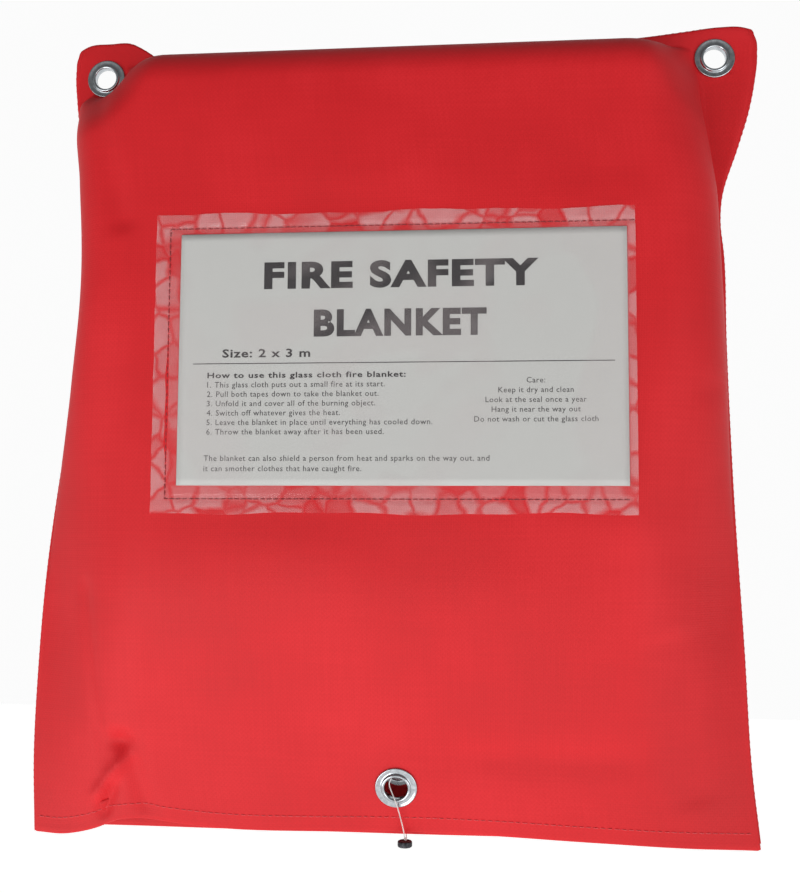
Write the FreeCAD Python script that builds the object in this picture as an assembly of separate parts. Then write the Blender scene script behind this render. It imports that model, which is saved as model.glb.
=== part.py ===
"""Fire blanket in a hanging fabric case: a folded glass-cloth blanket in a red coated-fabric pouch.

Millimetres. +X is to the right and -Y towards a person who faces the case, +Z is up. The origin lies midway
between the two wall eyelets, on the wall plane y = 0. Depths are counted from the wall towards the front.
"""

import FreeCAD
import Part
import math
import os

Vector = FreeCAD.Vector
ACROSS = Vector(1, 0, 0)

# Case outline, seen from the front
EYELET_SPACING = 314.0
CASE_WIDTH = 350.0
EAR_TOP = 17.0              # the ears' top edge above the wall eyelets
TOP_DIP = 8.0               # how far the top edge sags between the ears
CASE_HEIGHT = 400.0
EAR_DROP = 42.0             # height of the straight side of an ear
WAIST_TOP = -80.0           # where the ears run out and the sides are narrowest
WAIST_WIDTH = 314.0
WAIST_LOW = -230.0
WAIST_LOW_WIDTH = 322.0
HEM = EAR_TOP - CASE_HEIGHT

# Layers, as depths from the wall
CLOTH = 0.8
EYELET_BACK = 0.8           # washer and rolled lip behind the cloth
BACK_ROLL = 0.3             # height of the lip that is rolled over the washer
BACK_REAR = EYELET_BACK
BACK_FRONT = BACK_REAR + CLOTH
FLANGE_FRONT = BACK_FRONT + CLOTH

# Bulging front of the case
PAN_DEPTH = 42.8
PAN_INNER_HALF = 152.0
PAN_TOP = 4.8
PAN_TOP_RADIUS = 20.0
PAN_EDGE_RADIUS = 14.0
EAR_CREASE_TOP = 140.0      # the flat ears start beside the bulge at this x at the top
EAR_CREASE_LOW = -50.0      # and run out at this level
MOUTH_HINGE = -258.0        # the mouth flap folds up along this level
HEM_DEPTH = 8.8             # front of the mouth flap at the hem
FLAP_HALF = 151.6
FLAP_GAP = 0.3

# Eyelets
HOLE_RADIUS = 5.5
BARREL_RADIUS = 6.0
EYELET_RADIUS = 10.0
FLANGE_HEIGHT = 1.0
HOLE_IN_CLOTH = 6.1
HEM_EYELET = HEM + 24.5
BACK_HEM_EYELET = HEM_EYELET + 8.0

# Seams
SEAM_THREAD = 0.6
SEAM_HEIGHT = 0.4
SEAM_INSET = 2.5
HEM_SEAM_RISE = 7.0
SEAM_ENDS = 4.0             # how far a seam stops short of the corners

# Document pocket and its card
FILM_WIDTH = 226.0
FILM_HEIGHT = 142.5
FILM_X = -1.2
FILM_Z = -158.3
FILM_RISE = 1.2
FILM_THICKNESS = 0.3
CARD_WIDTH = 210.0
CARD_HEIGHT = 120.0
CARD_X = 3.0
CARD_Z = -156.6
CARD_THICKNESS = 0.3
CARD_GAP = 0.3
POCKET_SEAM_INSET = 6.7

# Folded blanket
PACK_HALF = 149.0
PACK_BACK = 3.2
PACK_TOP = 1.0
PACK_DEPTH = 37.0
PACK_SHOULDER = -185.0      # below this level the pack thins towards its lower end
PACK_MIDDLE = (31.0, -258.0)
PACK_NOSE = (16.0, -334.0)
PACK_EDGE_RADIUS = 16.0
NOSE_RADIUS = 5.0
PACK_EAR_ROOM = 4.0         # the pack's upper corners stay this far inside the ears' creases

# Pull tapes, loops of webbing sewn to the blanket
TAPE_WIDTH = 25.0
TAPE_SPACING = 170.0
TAPE_THICKNESS = 1.3
TAPE_TOP = -300.0
TAPE_BOTTOM = -374.0
TAPE_SEAM_RISES = (10.0, 22.0)

# Security seal
THREAD = 0.6
SEAL_RADIUS = 3.5
SEAL_HEIGHT = 3.0
SEAL_GAP = 0.5

# The front half of the seal thread, from inside the front eyelet over its rim to the seal. Each point is
# the distance across, the height over the flap's front and the distance down from the eyelet's centre.
FRONT_THREAD = [
    (-2.2, -0.8, -4.3),
    (-3.5, -0.6, -2.0),
    (-3.0, -0.6, 0.6),
    (-1.9, 0.3, 2.9),
    (-0.7, 1.7, 5.0),
    (0.6, 2.6, 8.2),
    (1.5, 2.2, 12.2),
    (2.3, 1.6, 16.4),
    (3.3, 1.5, 20.8),
    (3.9, 2.1, 25.6),
]

# The back half, from inside the back eyelet down behind the hem and round it, where it breaks off from the
# seal's side. Each point is the distance across, the depth and the drop from the eyelet's centre.
BACK_THREAD = [
    (-3.4, 2.3, -2.4),
    (-2.2, 2.4, 0.4),
    (-0.6, 2.2, 2.6),
    (-0.3, 0.2, 3.3),
    (0.2, -0.75, 5.9),
    (0.9, -0.6, 11.5),
    (1.9, -0.55, 18.0),
    (2.7, -0.7, 25.0),
    (3.3, -0.5, 30.5),
    (3.7, 0.3, 33.6),
    (3.9, 2.4, 35.0),
]


def save(shape, name):
    shape.exportStep("parts/" + name + ".step")


def front_point(x, z, depth=0.0):
    """The point at x and z that lies the given depth in front of the wall."""
    return Vector(x, -depth, z)


def line(start, end):
    return Part.LineSegment(start, end).toShape()


def arc(start, middle, end):
    return Part.Arc(start, middle, end).toShape()


def fused(shapes):
    """The shapes joined into one, with the seams between flush faces removed."""
    return shapes[0].multiFuse(shapes[1:]).removeSplitter()


def slab(outline, depth, thickness):
    """A flat layer with the outline's shape, from the depth towards the front by its thickness."""
    layer = Part.Face(outline).extrude(Vector(0, -thickness, 0))
    layer.translate(Vector(0, -depth, 0))
    return layer


def block(low_x, high_x, near_wall, far_wall, low_z, high_z):
    """A block between two x values, two depths and two levels."""
    return Part.makeBox(high_x - low_x, far_wall - near_wall, high_z - low_z,
                        Vector(low_x, -far_wall, low_z))


def prism(profile, half_width):
    """A closed profile in the YZ plane, extruded to both sides of x = 0."""
    solid = Part.Face(Part.Wire(profile)).extrude(ACROSS * (2 * half_width))
    solid.translate(ACROSS * -half_width)
    return solid


# Outline of the case

def side_edges(side, inset=0.0, end=0.0):
    """The edges of the case's left (-1) or right (1) side from the ear down to the hem."""
    corner = CASE_WIDTH / 2 - inset
    ear = front_point(side * (corner - 3), EAR_TOP - EAR_DROP)
    waist = front_point(side * (WAIST_WIDTH / 2 - inset), WAIST_TOP)
    low_waist = front_point(side * (WAIST_LOW_WIDTH / 2 - inset), WAIST_LOW)
    return [
        line(front_point(side * corner, EAR_TOP - end), ear),
        line(ear, waist),
        arc(waist, low_waist, front_point(side * corner, HEM + end)),
    ]


def top_edge(inset=0.0, end=0.0):
    """The top edge, which sags between the two ears."""
    corner = CASE_WIDTH / 2 - end
    return arc(front_point(-corner, EAR_TOP - inset), front_point(0, EAR_TOP - TOP_DIP - inset),
               front_point(corner, EAR_TOP - inset))


def case_outline():
    hem_edge = line(front_point(-CASE_WIDTH / 2, HEM), front_point(CASE_WIDTH / 2, HEM))
    edges = [top_edge(), hem_edge] + side_edges(-1) + side_edges(1)
    return Part.Wire(Part.__sortEdges__(edges))


# Shape of the bulging front

def flap_direction():
    """The direction down the closed mouth flap."""
    return Vector(0, PAN_DEPTH - HEM_DEPTH, HEM - MOUTH_HINGE).normalize()


def flap_normal():
    """The direction out of the mouth flap's front face."""
    down = flap_direction()
    return Vector(0, down.z, -down.y)


def pan_body(offset):
    """The upper bulge as a solid, shrunk by the offset, with its top and side edges rounded."""
    depth = PAN_DEPTH - offset
    top = PAN_TOP - offset
    radius = PAN_TOP_RADIUS - offset
    slope = radius * (1 - math.sqrt(0.5))
    start = front_point(0, top, BACK_FRONT)
    shoulder = front_point(0, top, depth - radius)
    bend = front_point(0, top - slope, depth - slope)
    front = front_point(0, top - radius, depth)
    low_front = front_point(0, MOUTH_HINGE, depth)
    low_back = front_point(0, MOUTH_HINGE, BACK_FRONT)
    profile = [line(start, shoulder), arc(shoulder, bend, front), line(front, low_front),
               line(low_front, low_back), line(low_back, start)]
    half = PAN_INNER_HALF + CLOTH - offset
    solid = prism(profile, half)
    solid = solid.makeFillet(PAN_EDGE_RADIUS - offset, rounded_edges(solid, half, depth))
    return without_ears(solid, offset)


def without_ears(solid, offset):
    """The solid with its two upper corners cut off along the ears' creases, moved in by the offset."""
    low_x = PAN_INNER_HALF + CLOTH - offset
    slope = (low_x + offset - EAR_CREASE_TOP) / (PAN_TOP - EAR_CREASE_LOW)
    rise = 3 * EAR_TOP
    for side in (-1, 1):
        corner = Part.makePolygon([
            front_point(side * low_x, EAR_CREASE_LOW, -1),
            front_point(side * (low_x + rise), EAR_CREASE_LOW, -1),
            front_point(side * (low_x + rise), EAR_CREASE_LOW + 2 * rise, -1),
            front_point(side * (low_x - 2 * rise * slope), EAR_CREASE_LOW + 2 * rise, -1),
            front_point(side * low_x, EAR_CREASE_LOW, -1),
        ])
        solid = solid.cut(slab(corner, 0, 2 * PAN_DEPTH))
    return solid


def rounded_edges(solid, half, depth):
    """The edges along both sides of a prism's front face and of the bends that join it."""
    found = []
    for edge in solid.Edges:
        box = edge.BoundBox
        beside = abs(abs(box.Center.x) - half) < 0.01 and box.XLength < 0.01
        if beside and abs(box.YMin + depth) < 0.01 and box.ZLength > 1:
            found.append(edge)
    return found


def cloth_hole(x, z):
    return Part.makeCylinder(HOLE_IN_CLOTH, 4 * FLANGE_FRONT, front_point(x, z, 3 * FLANGE_FRONT),
                             Vector(0, 1, 0))


def wall_eyelet_places():
    return {"left": -EYELET_SPACING / 2, "right": EYELET_SPACING / 2}


def back_panel():
    panel = slab(case_outline(), BACK_REAR, CLOTH)
    for x in wall_eyelet_places().values():
        panel = panel.cut(cloth_hole(x, 0))
    return panel.cut(cloth_hole(0, BACK_HEM_EYELET))


def side_wall(side):
    """The wall at one side of the mouth, as deep as the closed flap beside it."""
    top = front_point(0, MOUTH_HINGE, BACK_FRONT)
    front = front_point(0, MOUTH_HINGE, PAN_DEPTH)
    hem_front = front_point(0, HEM, HEM_DEPTH)
    hem_back = front_point(0, HEM, BACK_FRONT)
    profile = [line(top, front), line(front, hem_front), line(hem_front, hem_back),
               line(hem_back, top)]
    wall = Part.Face(Part.Wire(profile)).extrude(ACROSS * CLOTH)
    wall.translate(ACROSS * (PAN_INNER_HALF if side > 0 else -PAN_INNER_HALF - CLOTH))
    return wall


def front_panel():
    """The front of the case down to the mouth, with its flat edge and the walls beside the mouth."""
    flange = slab(case_outline(), BACK_FRONT, CLOTH)
    inside = PAN_INNER_HALF
    hollow = block(-inside, inside, 0, 2 * FLANGE_FRONT, HEM - 1, PAN_TOP - CLOTH)
    flange = flange.cut(without_ears(hollow, CLOTH))
    for x in wall_eyelet_places().values():
        flange = flange.cut(cloth_hole(x, 0))
    bulge = pan_body(0).cut(pan_body(CLOTH))
    opening = block(-inside, inside, BACK_FRONT - 1, PAN_DEPTH - CLOTH,
                    MOUTH_HINGE - 1, MOUTH_HINGE + 1)
    corners = [block(side * (PAN_INNER_HALF + CLOTH) - CLOTH, side * (PAN_INNER_HALF + CLOTH) + CLOTH,
                     PAN_DEPTH - CLOTH, PAN_DEPTH + CLOTH, MOUTH_HINGE - 1, MOUTH_HINGE)
               for side in (-1, 1)]
    panel = fused([flange, bulge.cut(opening), side_wall(-1), side_wall(1)])
    for corner in corners:
        panel = panel.cut(corner)
    for seam in side_and_top_seams().values():
        panel = panel.cut(seam)
    return panel


def mouth_flap():
    """The lower front of the case, which lifts to let the blanket out."""
    top_level = MOUTH_HINGE - FLAP_GAP
    fall = (MOUTH_HINGE - top_level) * (PAN_DEPTH - HEM_DEPTH) / (MOUTH_HINGE - HEM)
    thickness = CLOTH / abs(flap_normal().y)
    top_front = front_point(0, top_level, PAN_DEPTH - fall)
    top_back = front_point(0, top_level, PAN_DEPTH - fall - thickness)
    hem_back = front_point(0, HEM, HEM_DEPTH - thickness)
    hem_front = front_point(0, HEM, HEM_DEPTH)
    profile = [line(top_front, top_back), line(top_back, hem_back), line(hem_back, hem_front),
               line(hem_front, top_front)]
    flap = prism(profile, FLAP_HALF)
    hole = Part.makeCylinder(HOLE_IN_CLOTH, 10 * CLOTH, flap_point(0, -5 * CLOTH, 0), flap_normal())
    return flap.cut(hole)


def flap_point(x, height, drop):
    """A point across, above the flap's front face and down from its eyelet's centre."""
    centre_depth = HEM_DEPTH + (HEM_EYELET - HEM) * (PAN_DEPTH - HEM_DEPTH) / (MOUTH_HINGE - HEM)
    centre = front_point(0, HEM_EYELET, centre_depth)
    return centre + ACROSS * x + flap_normal() * height + flap_direction() * drop


# Seams: the side and top seams are turned inside, so their thread lies between the two layers

def seam_along(edges, depth):
    """A run of thread along the edges, which lie in the wall plane."""
    centre = Part.Wire(Part.__sortEdges__(edges))
    strip = centre.makeOffset2D(SEAM_THREAD, fill=True, openResult=True)
    thread = strip.extrude(Vector(0, -SEAM_HEIGHT, 0))
    thread.translate(Vector(0, -depth, 0))
    return thread


def side_and_top_seams():
    depth = BACK_FRONT
    ends = SEAM_ENDS + SEAM_INSET
    return {
        "top_seam_stitching": seam_along([top_edge(SEAM_INSET, ends)], depth),
        "left_seam_stitching": seam_along(side_edges(-1, SEAM_INSET, ends), depth),
        "right_seam_stitching": seam_along(side_edges(1, SEAM_INSET, ends), depth),
    }


def back_hem_stitching():
    level = HEM + HEM_SEAM_RISE
    half = CASE_WIDTH / 2 - SEAM_ENDS
    return block(-half, half, BACK_REAR - SEAM_HEIGHT, BACK_REAR, level, level + SEAM_THREAD)


def front_hem_stitching():
    """The seam across the mouth flap, a little above its edge."""
    down = flap_direction() * SEAM_THREAD
    out = flap_normal() * SEAM_HEIGHT
    corner = flap_point(0, 0, HEM_EYELET - HEM - HEM_SEAM_RISE)
    profile = Part.makePolygon([corner, corner + down, corner + down + out, corner + out, corner])
    return prism(profile.Edges, FLAP_HALF - SEAM_ENDS)


def pocket_stitching():
    """The seam round the left, top and bottom of the pocket film. The right side stays open."""
    left = FILM_X - FILM_WIDTH / 2 + POCKET_SEAM_INSET
    right = FILM_X + FILM_WIDTH / 2
    top = FILM_Z + FILM_HEIGHT / 2 - POCKET_SEAM_INSET
    low = FILM_Z - FILM_HEIGHT / 2 + POCKET_SEAM_INSET
    near = PAN_DEPTH + FILM_RISE
    far = near + SEAM_HEIGHT
    half = SEAM_THREAD / 2
    return fused([
        block(left - half, left + half, near, far, low - half, top + half),
        block(left - half, right, near, far, top - half, top + half),
        block(left - half, right, near, far, low - half, low + half),
    ])


# Pocket

def pocket_film():
    """Clear film with a flat recess for the card, open on the right."""
    film = block(FILM_X - FILM_WIDTH / 2, FILM_X + FILM_WIDTH / 2, PAN_DEPTH, PAN_DEPTH + FILM_RISE,
                 FILM_Z - FILM_HEIGHT / 2, FILM_Z + FILM_HEIGHT / 2)
    recess = block(CARD_X - CARD_WIDTH / 2 - CARD_GAP, FILM_X + FILM_WIDTH / 2 + 1,
                   PAN_DEPTH - 1, PAN_DEPTH + FILM_RISE - FILM_THICKNESS,
                   CARD_Z - CARD_HEIGHT / 2 - CARD_GAP, CARD_Z + CARD_HEIGHT / 2 + CARD_GAP)
    return film.cut(recess)


def instruction_card():
    near = PAN_DEPTH + CARD_GAP
    return block(CARD_X - CARD_WIDTH / 2, CARD_X + CARD_WIDTH / 2, near, near + CARD_THICKNESS,
                 CARD_Z - CARD_HEIGHT / 2, CARD_Z + CARD_HEIGHT / 2)


# Eyelets: a flanged barrel through the cloth, rolled over a washer

def eyelet(cloth):
    """An eyelet about the Z axis, whose flange sits on z = 0 with the cloth below it."""
    back = -cloth - EYELET_BACK
    roll_radius = BARREL_RADIUS + 1.2
    inner = [
        line(Vector(HOLE_RADIUS, 0, FLANGE_HEIGHT / 2), Vector(HOLE_RADIUS, 0, back)),
        line(Vector(HOLE_RADIUS, 0, back), Vector(roll_radius, 0, back)),
        line(Vector(roll_radius, 0, back), Vector(roll_radius, 0, back + BACK_ROLL)),
        line(Vector(roll_radius, 0, back + BACK_ROLL), Vector(BARREL_RADIUS, 0, back + BACK_ROLL)),
        line(Vector(BARREL_RADIUS, 0, back + BACK_ROLL), Vector(BARREL_RADIUS, 0, 0)),
        line(Vector(BARREL_RADIUS, 0, 0), Vector(EYELET_RADIUS, 0, 0)),
        line(Vector(EYELET_RADIUS, 0, 0), Vector(EYELET_RADIUS, 0, FLANGE_HEIGHT * 0.3)),
        arc(Vector(EYELET_RADIUS, 0, FLANGE_HEIGHT * 0.3), Vector(8.4, 0, FLANGE_HEIGHT * 0.86),
            Vector(6.6, 0, FLANGE_HEIGHT)),
        arc(Vector(6.6, 0, FLANGE_HEIGHT), Vector(5.8, 0, FLANGE_HEIGHT * 0.86),
            Vector(HOLE_RADIUS, 0, FLANGE_HEIGHT / 2)),
    ]
    return Part.Face(Part.Wire(inner)).revolve(Vector(), Vector(0, 0, 1), 360)


def washer(cloth):
    """The washer behind the cloth of an eyelet whose flange sits on z = 0."""
    low = -cloth - EYELET_BACK + BACK_ROLL
    outer = Part.makeCylinder(EYELET_RADIUS, -cloth - low, Vector(0, 0, low))
    return outer.cut(Part.makeCylinder(BARREL_RADIUS + 0.05, 10, Vector(0, 0, -5)))


def placed(shape, place, outwards):
    """A shape made about the Z axis, set at a place with +Z turned outwards."""
    shape = shape.copy()
    shape.Placement = FreeCAD.Placement(place, FreeCAD.Rotation(Vector(0, 0, 1), outwards))
    return shape


def eyelet_sets():
    """Each eyelet and its washer: name, place of the flange's seat, outward direction, cloth held."""
    front = Vector(0, -1, 0)
    sets = [(side + "_wall_eyelet", front_point(x, 0, FLANGE_FRONT), front, 2 * CLOTH)
            for side, x in wall_eyelet_places().items()]
    sets.append(("back_hem_eyelet", front_point(0, BACK_HEM_EYELET, BACK_FRONT), front, CLOTH))
    sets.append(("front_hem_eyelet", flap_point(0, 0, 0), flap_normal(), CLOTH))
    return sets


# Blanket

def folded_blanket():
    """The folded glass cloth: a pack that thins towards the lower end, with rounded edges."""
    bend = PACK_EDGE_RADIUS * (1 - math.sqrt(0.5))
    nose_depth, nose_level = PACK_NOSE
    back_top = front_point(0, PACK_TOP, PACK_BACK)
    shoulder = front_point(0, PACK_TOP, PACK_DEPTH - PACK_EDGE_RADIUS)
    top_bend = front_point(0, PACK_TOP - bend, PACK_DEPTH - bend)
    front_top = front_point(0, PACK_TOP - PACK_EDGE_RADIUS, PACK_DEPTH)
    front_low = front_point(0, PACK_SHOULDER, PACK_DEPTH)
    middle = front_point(0, PACK_MIDDLE[1], PACK_MIDDLE[0])
    nose = front_point(0, nose_level, nose_depth)
    nose_tip = front_point(0, nose_level - NOSE_RADIUS, (nose_depth + PACK_BACK) / 2)
    back_low = front_point(0, nose_level, PACK_BACK)
    profile = [line(back_top, shoulder), arc(shoulder, top_bend, front_top), line(front_top, front_low),
               arc(front_low, middle, nose), arc(nose, nose_tip, back_low), line(back_low, back_top)]
    pack = prism(profile, PACK_HALF).common(rounded_column(PACK_HALF, PACK_DEPTH, PACK_EDGE_RADIUS))
    pack = without_ears(pack, PACK_EAR_ROOM)
    for x in tape_places().values():
        pack = pack.cut(tape_pocket(x))
    return pack


def rounded_column(half, depth, radius):
    """A tall column from behind the wall to the depth, with its two front edges rounded."""
    low = 2 * HEM
    bend = radius * (1 - math.sqrt(0.5))
    edges = [
        line(front_point(half, low, 0), front_point(half, low, depth - radius)),
        arc(front_point(half, low, depth - radius), front_point(half - bend, low, depth - bend),
            front_point(half - radius, low, depth)),
        line(front_point(half - radius, low, depth), front_point(radius - half, low, depth)),
        arc(front_point(radius - half, low, depth), front_point(bend - half, low, depth - bend),
            front_point(-half, low, depth - radius)),
        line(front_point(-half, low, depth - radius), front_point(-half, low, 0)),
        line(front_point(-half, low, 0), front_point(half, low, 0)),
    ]
    return Part.Face(Part.Wire(edges)).extrude(Vector(0, 0, -2 * low))


def tape_places():
    return {"left": -TAPE_SPACING / 2, "right": TAPE_SPACING / 2}


def tape_pocket(x):
    """The room for a tape between the blanket's last two folds."""
    near = PACK_BACK + 4
    return block(x - TAPE_WIDTH / 2, x + TAPE_WIDTH / 2, near, near + 2 * TAPE_THICKNESS,
                 TAPE_TOP - 40, TAPE_TOP)


def pull_tape(x):
    """A loop of webbing folded flat, with its closed end hanging in the mouth."""
    near = PACK_BACK + 4
    far = near + 2 * TAPE_THICKNESS
    low = TAPE_BOTTOM + TAPE_THICKNESS
    profile = [
        line(front_point(0, TAPE_TOP, near), front_point(0, TAPE_TOP, far)),
        line(front_point(0, TAPE_TOP, far), front_point(0, low, far)),
        arc(front_point(0, low, far), front_point(0, TAPE_BOTTOM, (near + far) / 2),
            front_point(0, low, near)),
        line(front_point(0, low, near), front_point(0, TAPE_TOP, near)),
    ]
    tape = prism(profile, TAPE_WIDTH / 2)
    tape.translate(ACROSS * x)
    for seam in tape_seams(x):
        tape = tape.cut(seam)
    return tape


def tape_seams(x):
    """Two rows of thread that hold the tape between the folds."""
    far = PACK_BACK + 4 + 2 * TAPE_THICKNESS
    half = TAPE_WIDTH / 2 - 2
    return [block(x - half, x + half, far - SEAM_HEIGHT, far,
                  PACK_NOSE[1] + rise, PACK_NOSE[1] + rise + SEAM_THREAD)
            for rise in TAPE_SEAM_RISES]


# Seal

def thread_route(points, name):
    """The runs and tangent arcs along a route, each arc as large as its two runs allow."""
    edges = []
    here = points[0]
    for before, corner, after in zip(points, points[1:], points[2:]):
        run_in = corner - before
        run_out = after - corner
        turn = run_in.getAngle(run_out)
        cut = 0.45 * min(run_in.Length, run_out.Length)
        radius = cut / math.tan(turn / 2)
        start = corner - run_in.normalize() * cut
        end = corner + run_out.normalize() * cut
        towards = (run_out - run_in).normalize()
        middle = corner + towards * (radius / math.cos(turn / 2) - radius)
        edges += [line(here, start), arc(start, middle, end)]
        here = end
        print(name, "radius", round(radius, 2))
    edges.append(line(here, points[-1]))
    return Part.Wire(edges)


def thread_tube(points, name):
    route = thread_route(points, name)
    ring = Part.Wire(Part.Circle(points[0], points[1] - points[0], THREAD / 2).toShape())
    tube = route.makePipeShell([ring], True, False)
    expected = math.pi * THREAD ** 2 / 4 * route.Length
    print(name, "length", round(route.Length, 2), "volume share", round(tube.Volume / expected, 4))
    return tube


def seal_thread_front():
    return thread_tube([flap_point(x, height, drop) for x, height, drop in FRONT_THREAD],
                       "seal_thread_front")


def seal_thread_back():
    points = [front_point(x, BACK_HEM_EYELET - drop, depth) for x, depth, drop in BACK_THREAD]
    return thread_tube(points, "seal_thread_back")


def lead_seal():
    """A small lead disc with a rounded rim, crimped on the thread's ends just below the hem."""
    hang = flap_point(*FRONT_THREAD[-1])
    base = hang - Vector(0, 0, SEAL_GAP + SEAL_HEIGHT)
    disc = Part.makeCylinder(SEAL_RADIUS, SEAL_HEIGHT, base)
    rims = [edge for edge in disc.Edges if edge.BoundBox.ZLength < 0.01]
    return disc.makeFillet(0.6, rims)


def main():
    os.makedirs("parts", exist_ok=True)
    save(back_panel(), "back_panel")
    save(front_panel(), "front_panel")
    save(mouth_flap(), "mouth_flap")
    for name, seam in side_and_top_seams().items():
        save(seam, name)
    save(back_hem_stitching(), "back_hem_stitching")
    save(front_hem_stitching(), "front_hem_stitching")
    save(pocket_film(), "pocket_film")
    save(pocket_stitching(), "pocket_stitching")
    save(instruction_card(), "instruction_card")
    for name, place, outwards, cloth in eyelet_sets():
        save(placed(eyelet(cloth), place, outwards), name)
        save(placed(washer(cloth), place, outwards), name + "_washer")
    save(folded_blanket(), "folded_blanket")
    for side, x in tape_places().items():
        save(pull_tape(x), side + "_pull_tape")
        save(Part.makeCompound(tape_seams(x)), side + "_tape_stitching")
    save(seal_thread_front(), "seal_thread_front")
    save(seal_thread_back(), "seal_thread_back")
    save(lead_seal(), "lead_seal")


main()
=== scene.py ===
import math
import random

import bmesh
import bpy
import numpy as np
from mathutils import Matrix, Vector


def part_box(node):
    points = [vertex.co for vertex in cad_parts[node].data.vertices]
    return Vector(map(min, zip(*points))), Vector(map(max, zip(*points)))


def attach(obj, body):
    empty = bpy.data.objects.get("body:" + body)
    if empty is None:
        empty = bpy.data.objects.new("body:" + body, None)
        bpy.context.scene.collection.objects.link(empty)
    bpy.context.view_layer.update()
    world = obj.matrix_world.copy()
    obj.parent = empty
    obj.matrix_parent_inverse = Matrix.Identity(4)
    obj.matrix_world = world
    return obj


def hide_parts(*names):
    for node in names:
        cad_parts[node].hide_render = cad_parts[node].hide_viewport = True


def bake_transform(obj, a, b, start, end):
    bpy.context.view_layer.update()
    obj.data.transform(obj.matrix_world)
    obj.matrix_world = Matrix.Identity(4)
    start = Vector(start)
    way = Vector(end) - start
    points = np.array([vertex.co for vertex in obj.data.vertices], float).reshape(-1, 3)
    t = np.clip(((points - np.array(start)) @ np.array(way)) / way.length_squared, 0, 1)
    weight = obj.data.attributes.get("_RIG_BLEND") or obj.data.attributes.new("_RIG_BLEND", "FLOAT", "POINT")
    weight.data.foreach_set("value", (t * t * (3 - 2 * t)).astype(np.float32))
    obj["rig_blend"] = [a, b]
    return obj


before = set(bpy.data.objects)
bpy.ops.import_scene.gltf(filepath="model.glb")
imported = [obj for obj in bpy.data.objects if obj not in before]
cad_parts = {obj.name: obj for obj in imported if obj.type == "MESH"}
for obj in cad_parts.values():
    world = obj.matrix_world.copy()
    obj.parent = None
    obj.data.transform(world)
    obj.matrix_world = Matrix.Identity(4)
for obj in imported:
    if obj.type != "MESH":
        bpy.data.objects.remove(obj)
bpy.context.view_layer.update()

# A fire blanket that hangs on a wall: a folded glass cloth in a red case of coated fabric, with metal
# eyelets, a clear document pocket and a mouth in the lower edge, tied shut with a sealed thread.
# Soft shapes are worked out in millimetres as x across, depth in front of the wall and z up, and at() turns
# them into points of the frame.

MM = 0.001
random.seed(23)


def node_box(node):
    """A node's lowest and highest corners in millimetres."""
    low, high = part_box(node)
    return [value / MM for value in low], [value / MM for value in high]


# Measures that come from the frame
CASE_LOW, CASE_HIGH = node_box("back_panel")
HEM = CASE_LOW[2]
HALF_WIDTH = CASE_HIGH[0]
CLOTH = CASE_HIGH[1] - CASE_LOW[1]
BACK_REAR = -CASE_HIGH[1]
FLANGE_FRONT = BACK_REAR + 2 * CLOTH
PAN_DEPTH = -node_box("front_panel")[0][1]
FLAP_HIGH = node_box("mouth_flap")[1]
MOUTH_TOP = FLAP_HIGH[2]
HEM_DEPTH = -FLAP_HIGH[1] + CLOTH
FILM_LOW, FILM_HIGH = node_box("pocket_film")
CARD_LOW, CARD_HIGH = node_box("instruction_card")
PACK_LOW, PACK_HIGH = node_box("folded_blanket")
EYELET_LOW, EYELET_HIGH = node_box("right_wall_eyelet")
EYELET_X = (EYELET_LOW[0] + EYELET_HIGH[0]) / 2
EYELET_RADIUS = (EYELET_HIGH[0] - EYELET_LOW[0]) / 2
HEM_EYELETS = ("front_hem_eyelet", "back_hem_eyelet")
FRONT_EYELET, BACK_EYELET = [(low[2] + high[2]) / 2 for low, high in map(node_box, HEM_EYELETS)]

# Measures of the sewing
CUT_RADIUS = 7.5            # of the cloth under an eyelet's flange
SEAM_RISE = 7.0             # the hem seam above the hem
HEM_FOLD = 14.0             # width of the turned hem
HEM_FOLD_INSET = 3.0        # how much narrower it is at each end
FRONT_TURN = 0.7            # radius of the front hem's turn
BACK_TURN = 0.5             # radius of the back hem's turn
POCKET_SEAM_INSET = 6.7     # the pocket's seam in from the film's edge
SHOWN_CLOTH = CLOTH * 0.8   # thickness of a layer, a little thinner than its solid
EAR_CURVE = 70              # how far down the rows follow the top edge's curve
BEND_ABOVE = 16             # reach of the mouth's bend above its hinge
BEND_BELOW = 26             # and below it


def at(x, depth, z):
    return Vector((x * MM, -depth * MM, z * MM))


# Curves and profiles

def curve_through(points):
    """A smooth function through points given as (place, value), flat beyond its ends."""
    places = np.array([p[0] for p in points], float)
    values = np.array([p[1] for p in points], float)
    order = np.argsort(places)
    places, values = places[order], values[order]
    slopes = np.gradient(values, places)

    def value_at(t):
        t = np.clip(np.asarray(t, float), places[0], places[-1])
        i = np.clip(np.searchsorted(places, t) - 1, 0, len(places) - 2)
        span = places[i + 1] - places[i]
        s = (t - places[i]) / span
        start = (1 + 2 * s) * (1 - s) ** 2 * values[i] + s * (1 - s) ** 2 * span * slopes[i]
        end = s ** 2 * (3 - 2 * s) * values[i + 1] + s ** 2 * (s - 1) * span * slopes[i + 1]
        return start + end

    return value_at


def smooth(t):
    """Goes from 0 to 1 as t does, with soft ends."""
    t = np.clip(t, 0, 1)
    return t * t * (3 - 2 * t)


def shoulder(distance, reach, power):
    """The rounded rise of stuffed cloth from its edge (0) to its full height (1) at the reach."""
    t = np.clip(distance / reach, 0, 1)
    return (1 - (1 - t) ** power) ** (1 / power)


def bell(distance, width):
    return np.exp(-(distance / width) ** 2)


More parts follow.
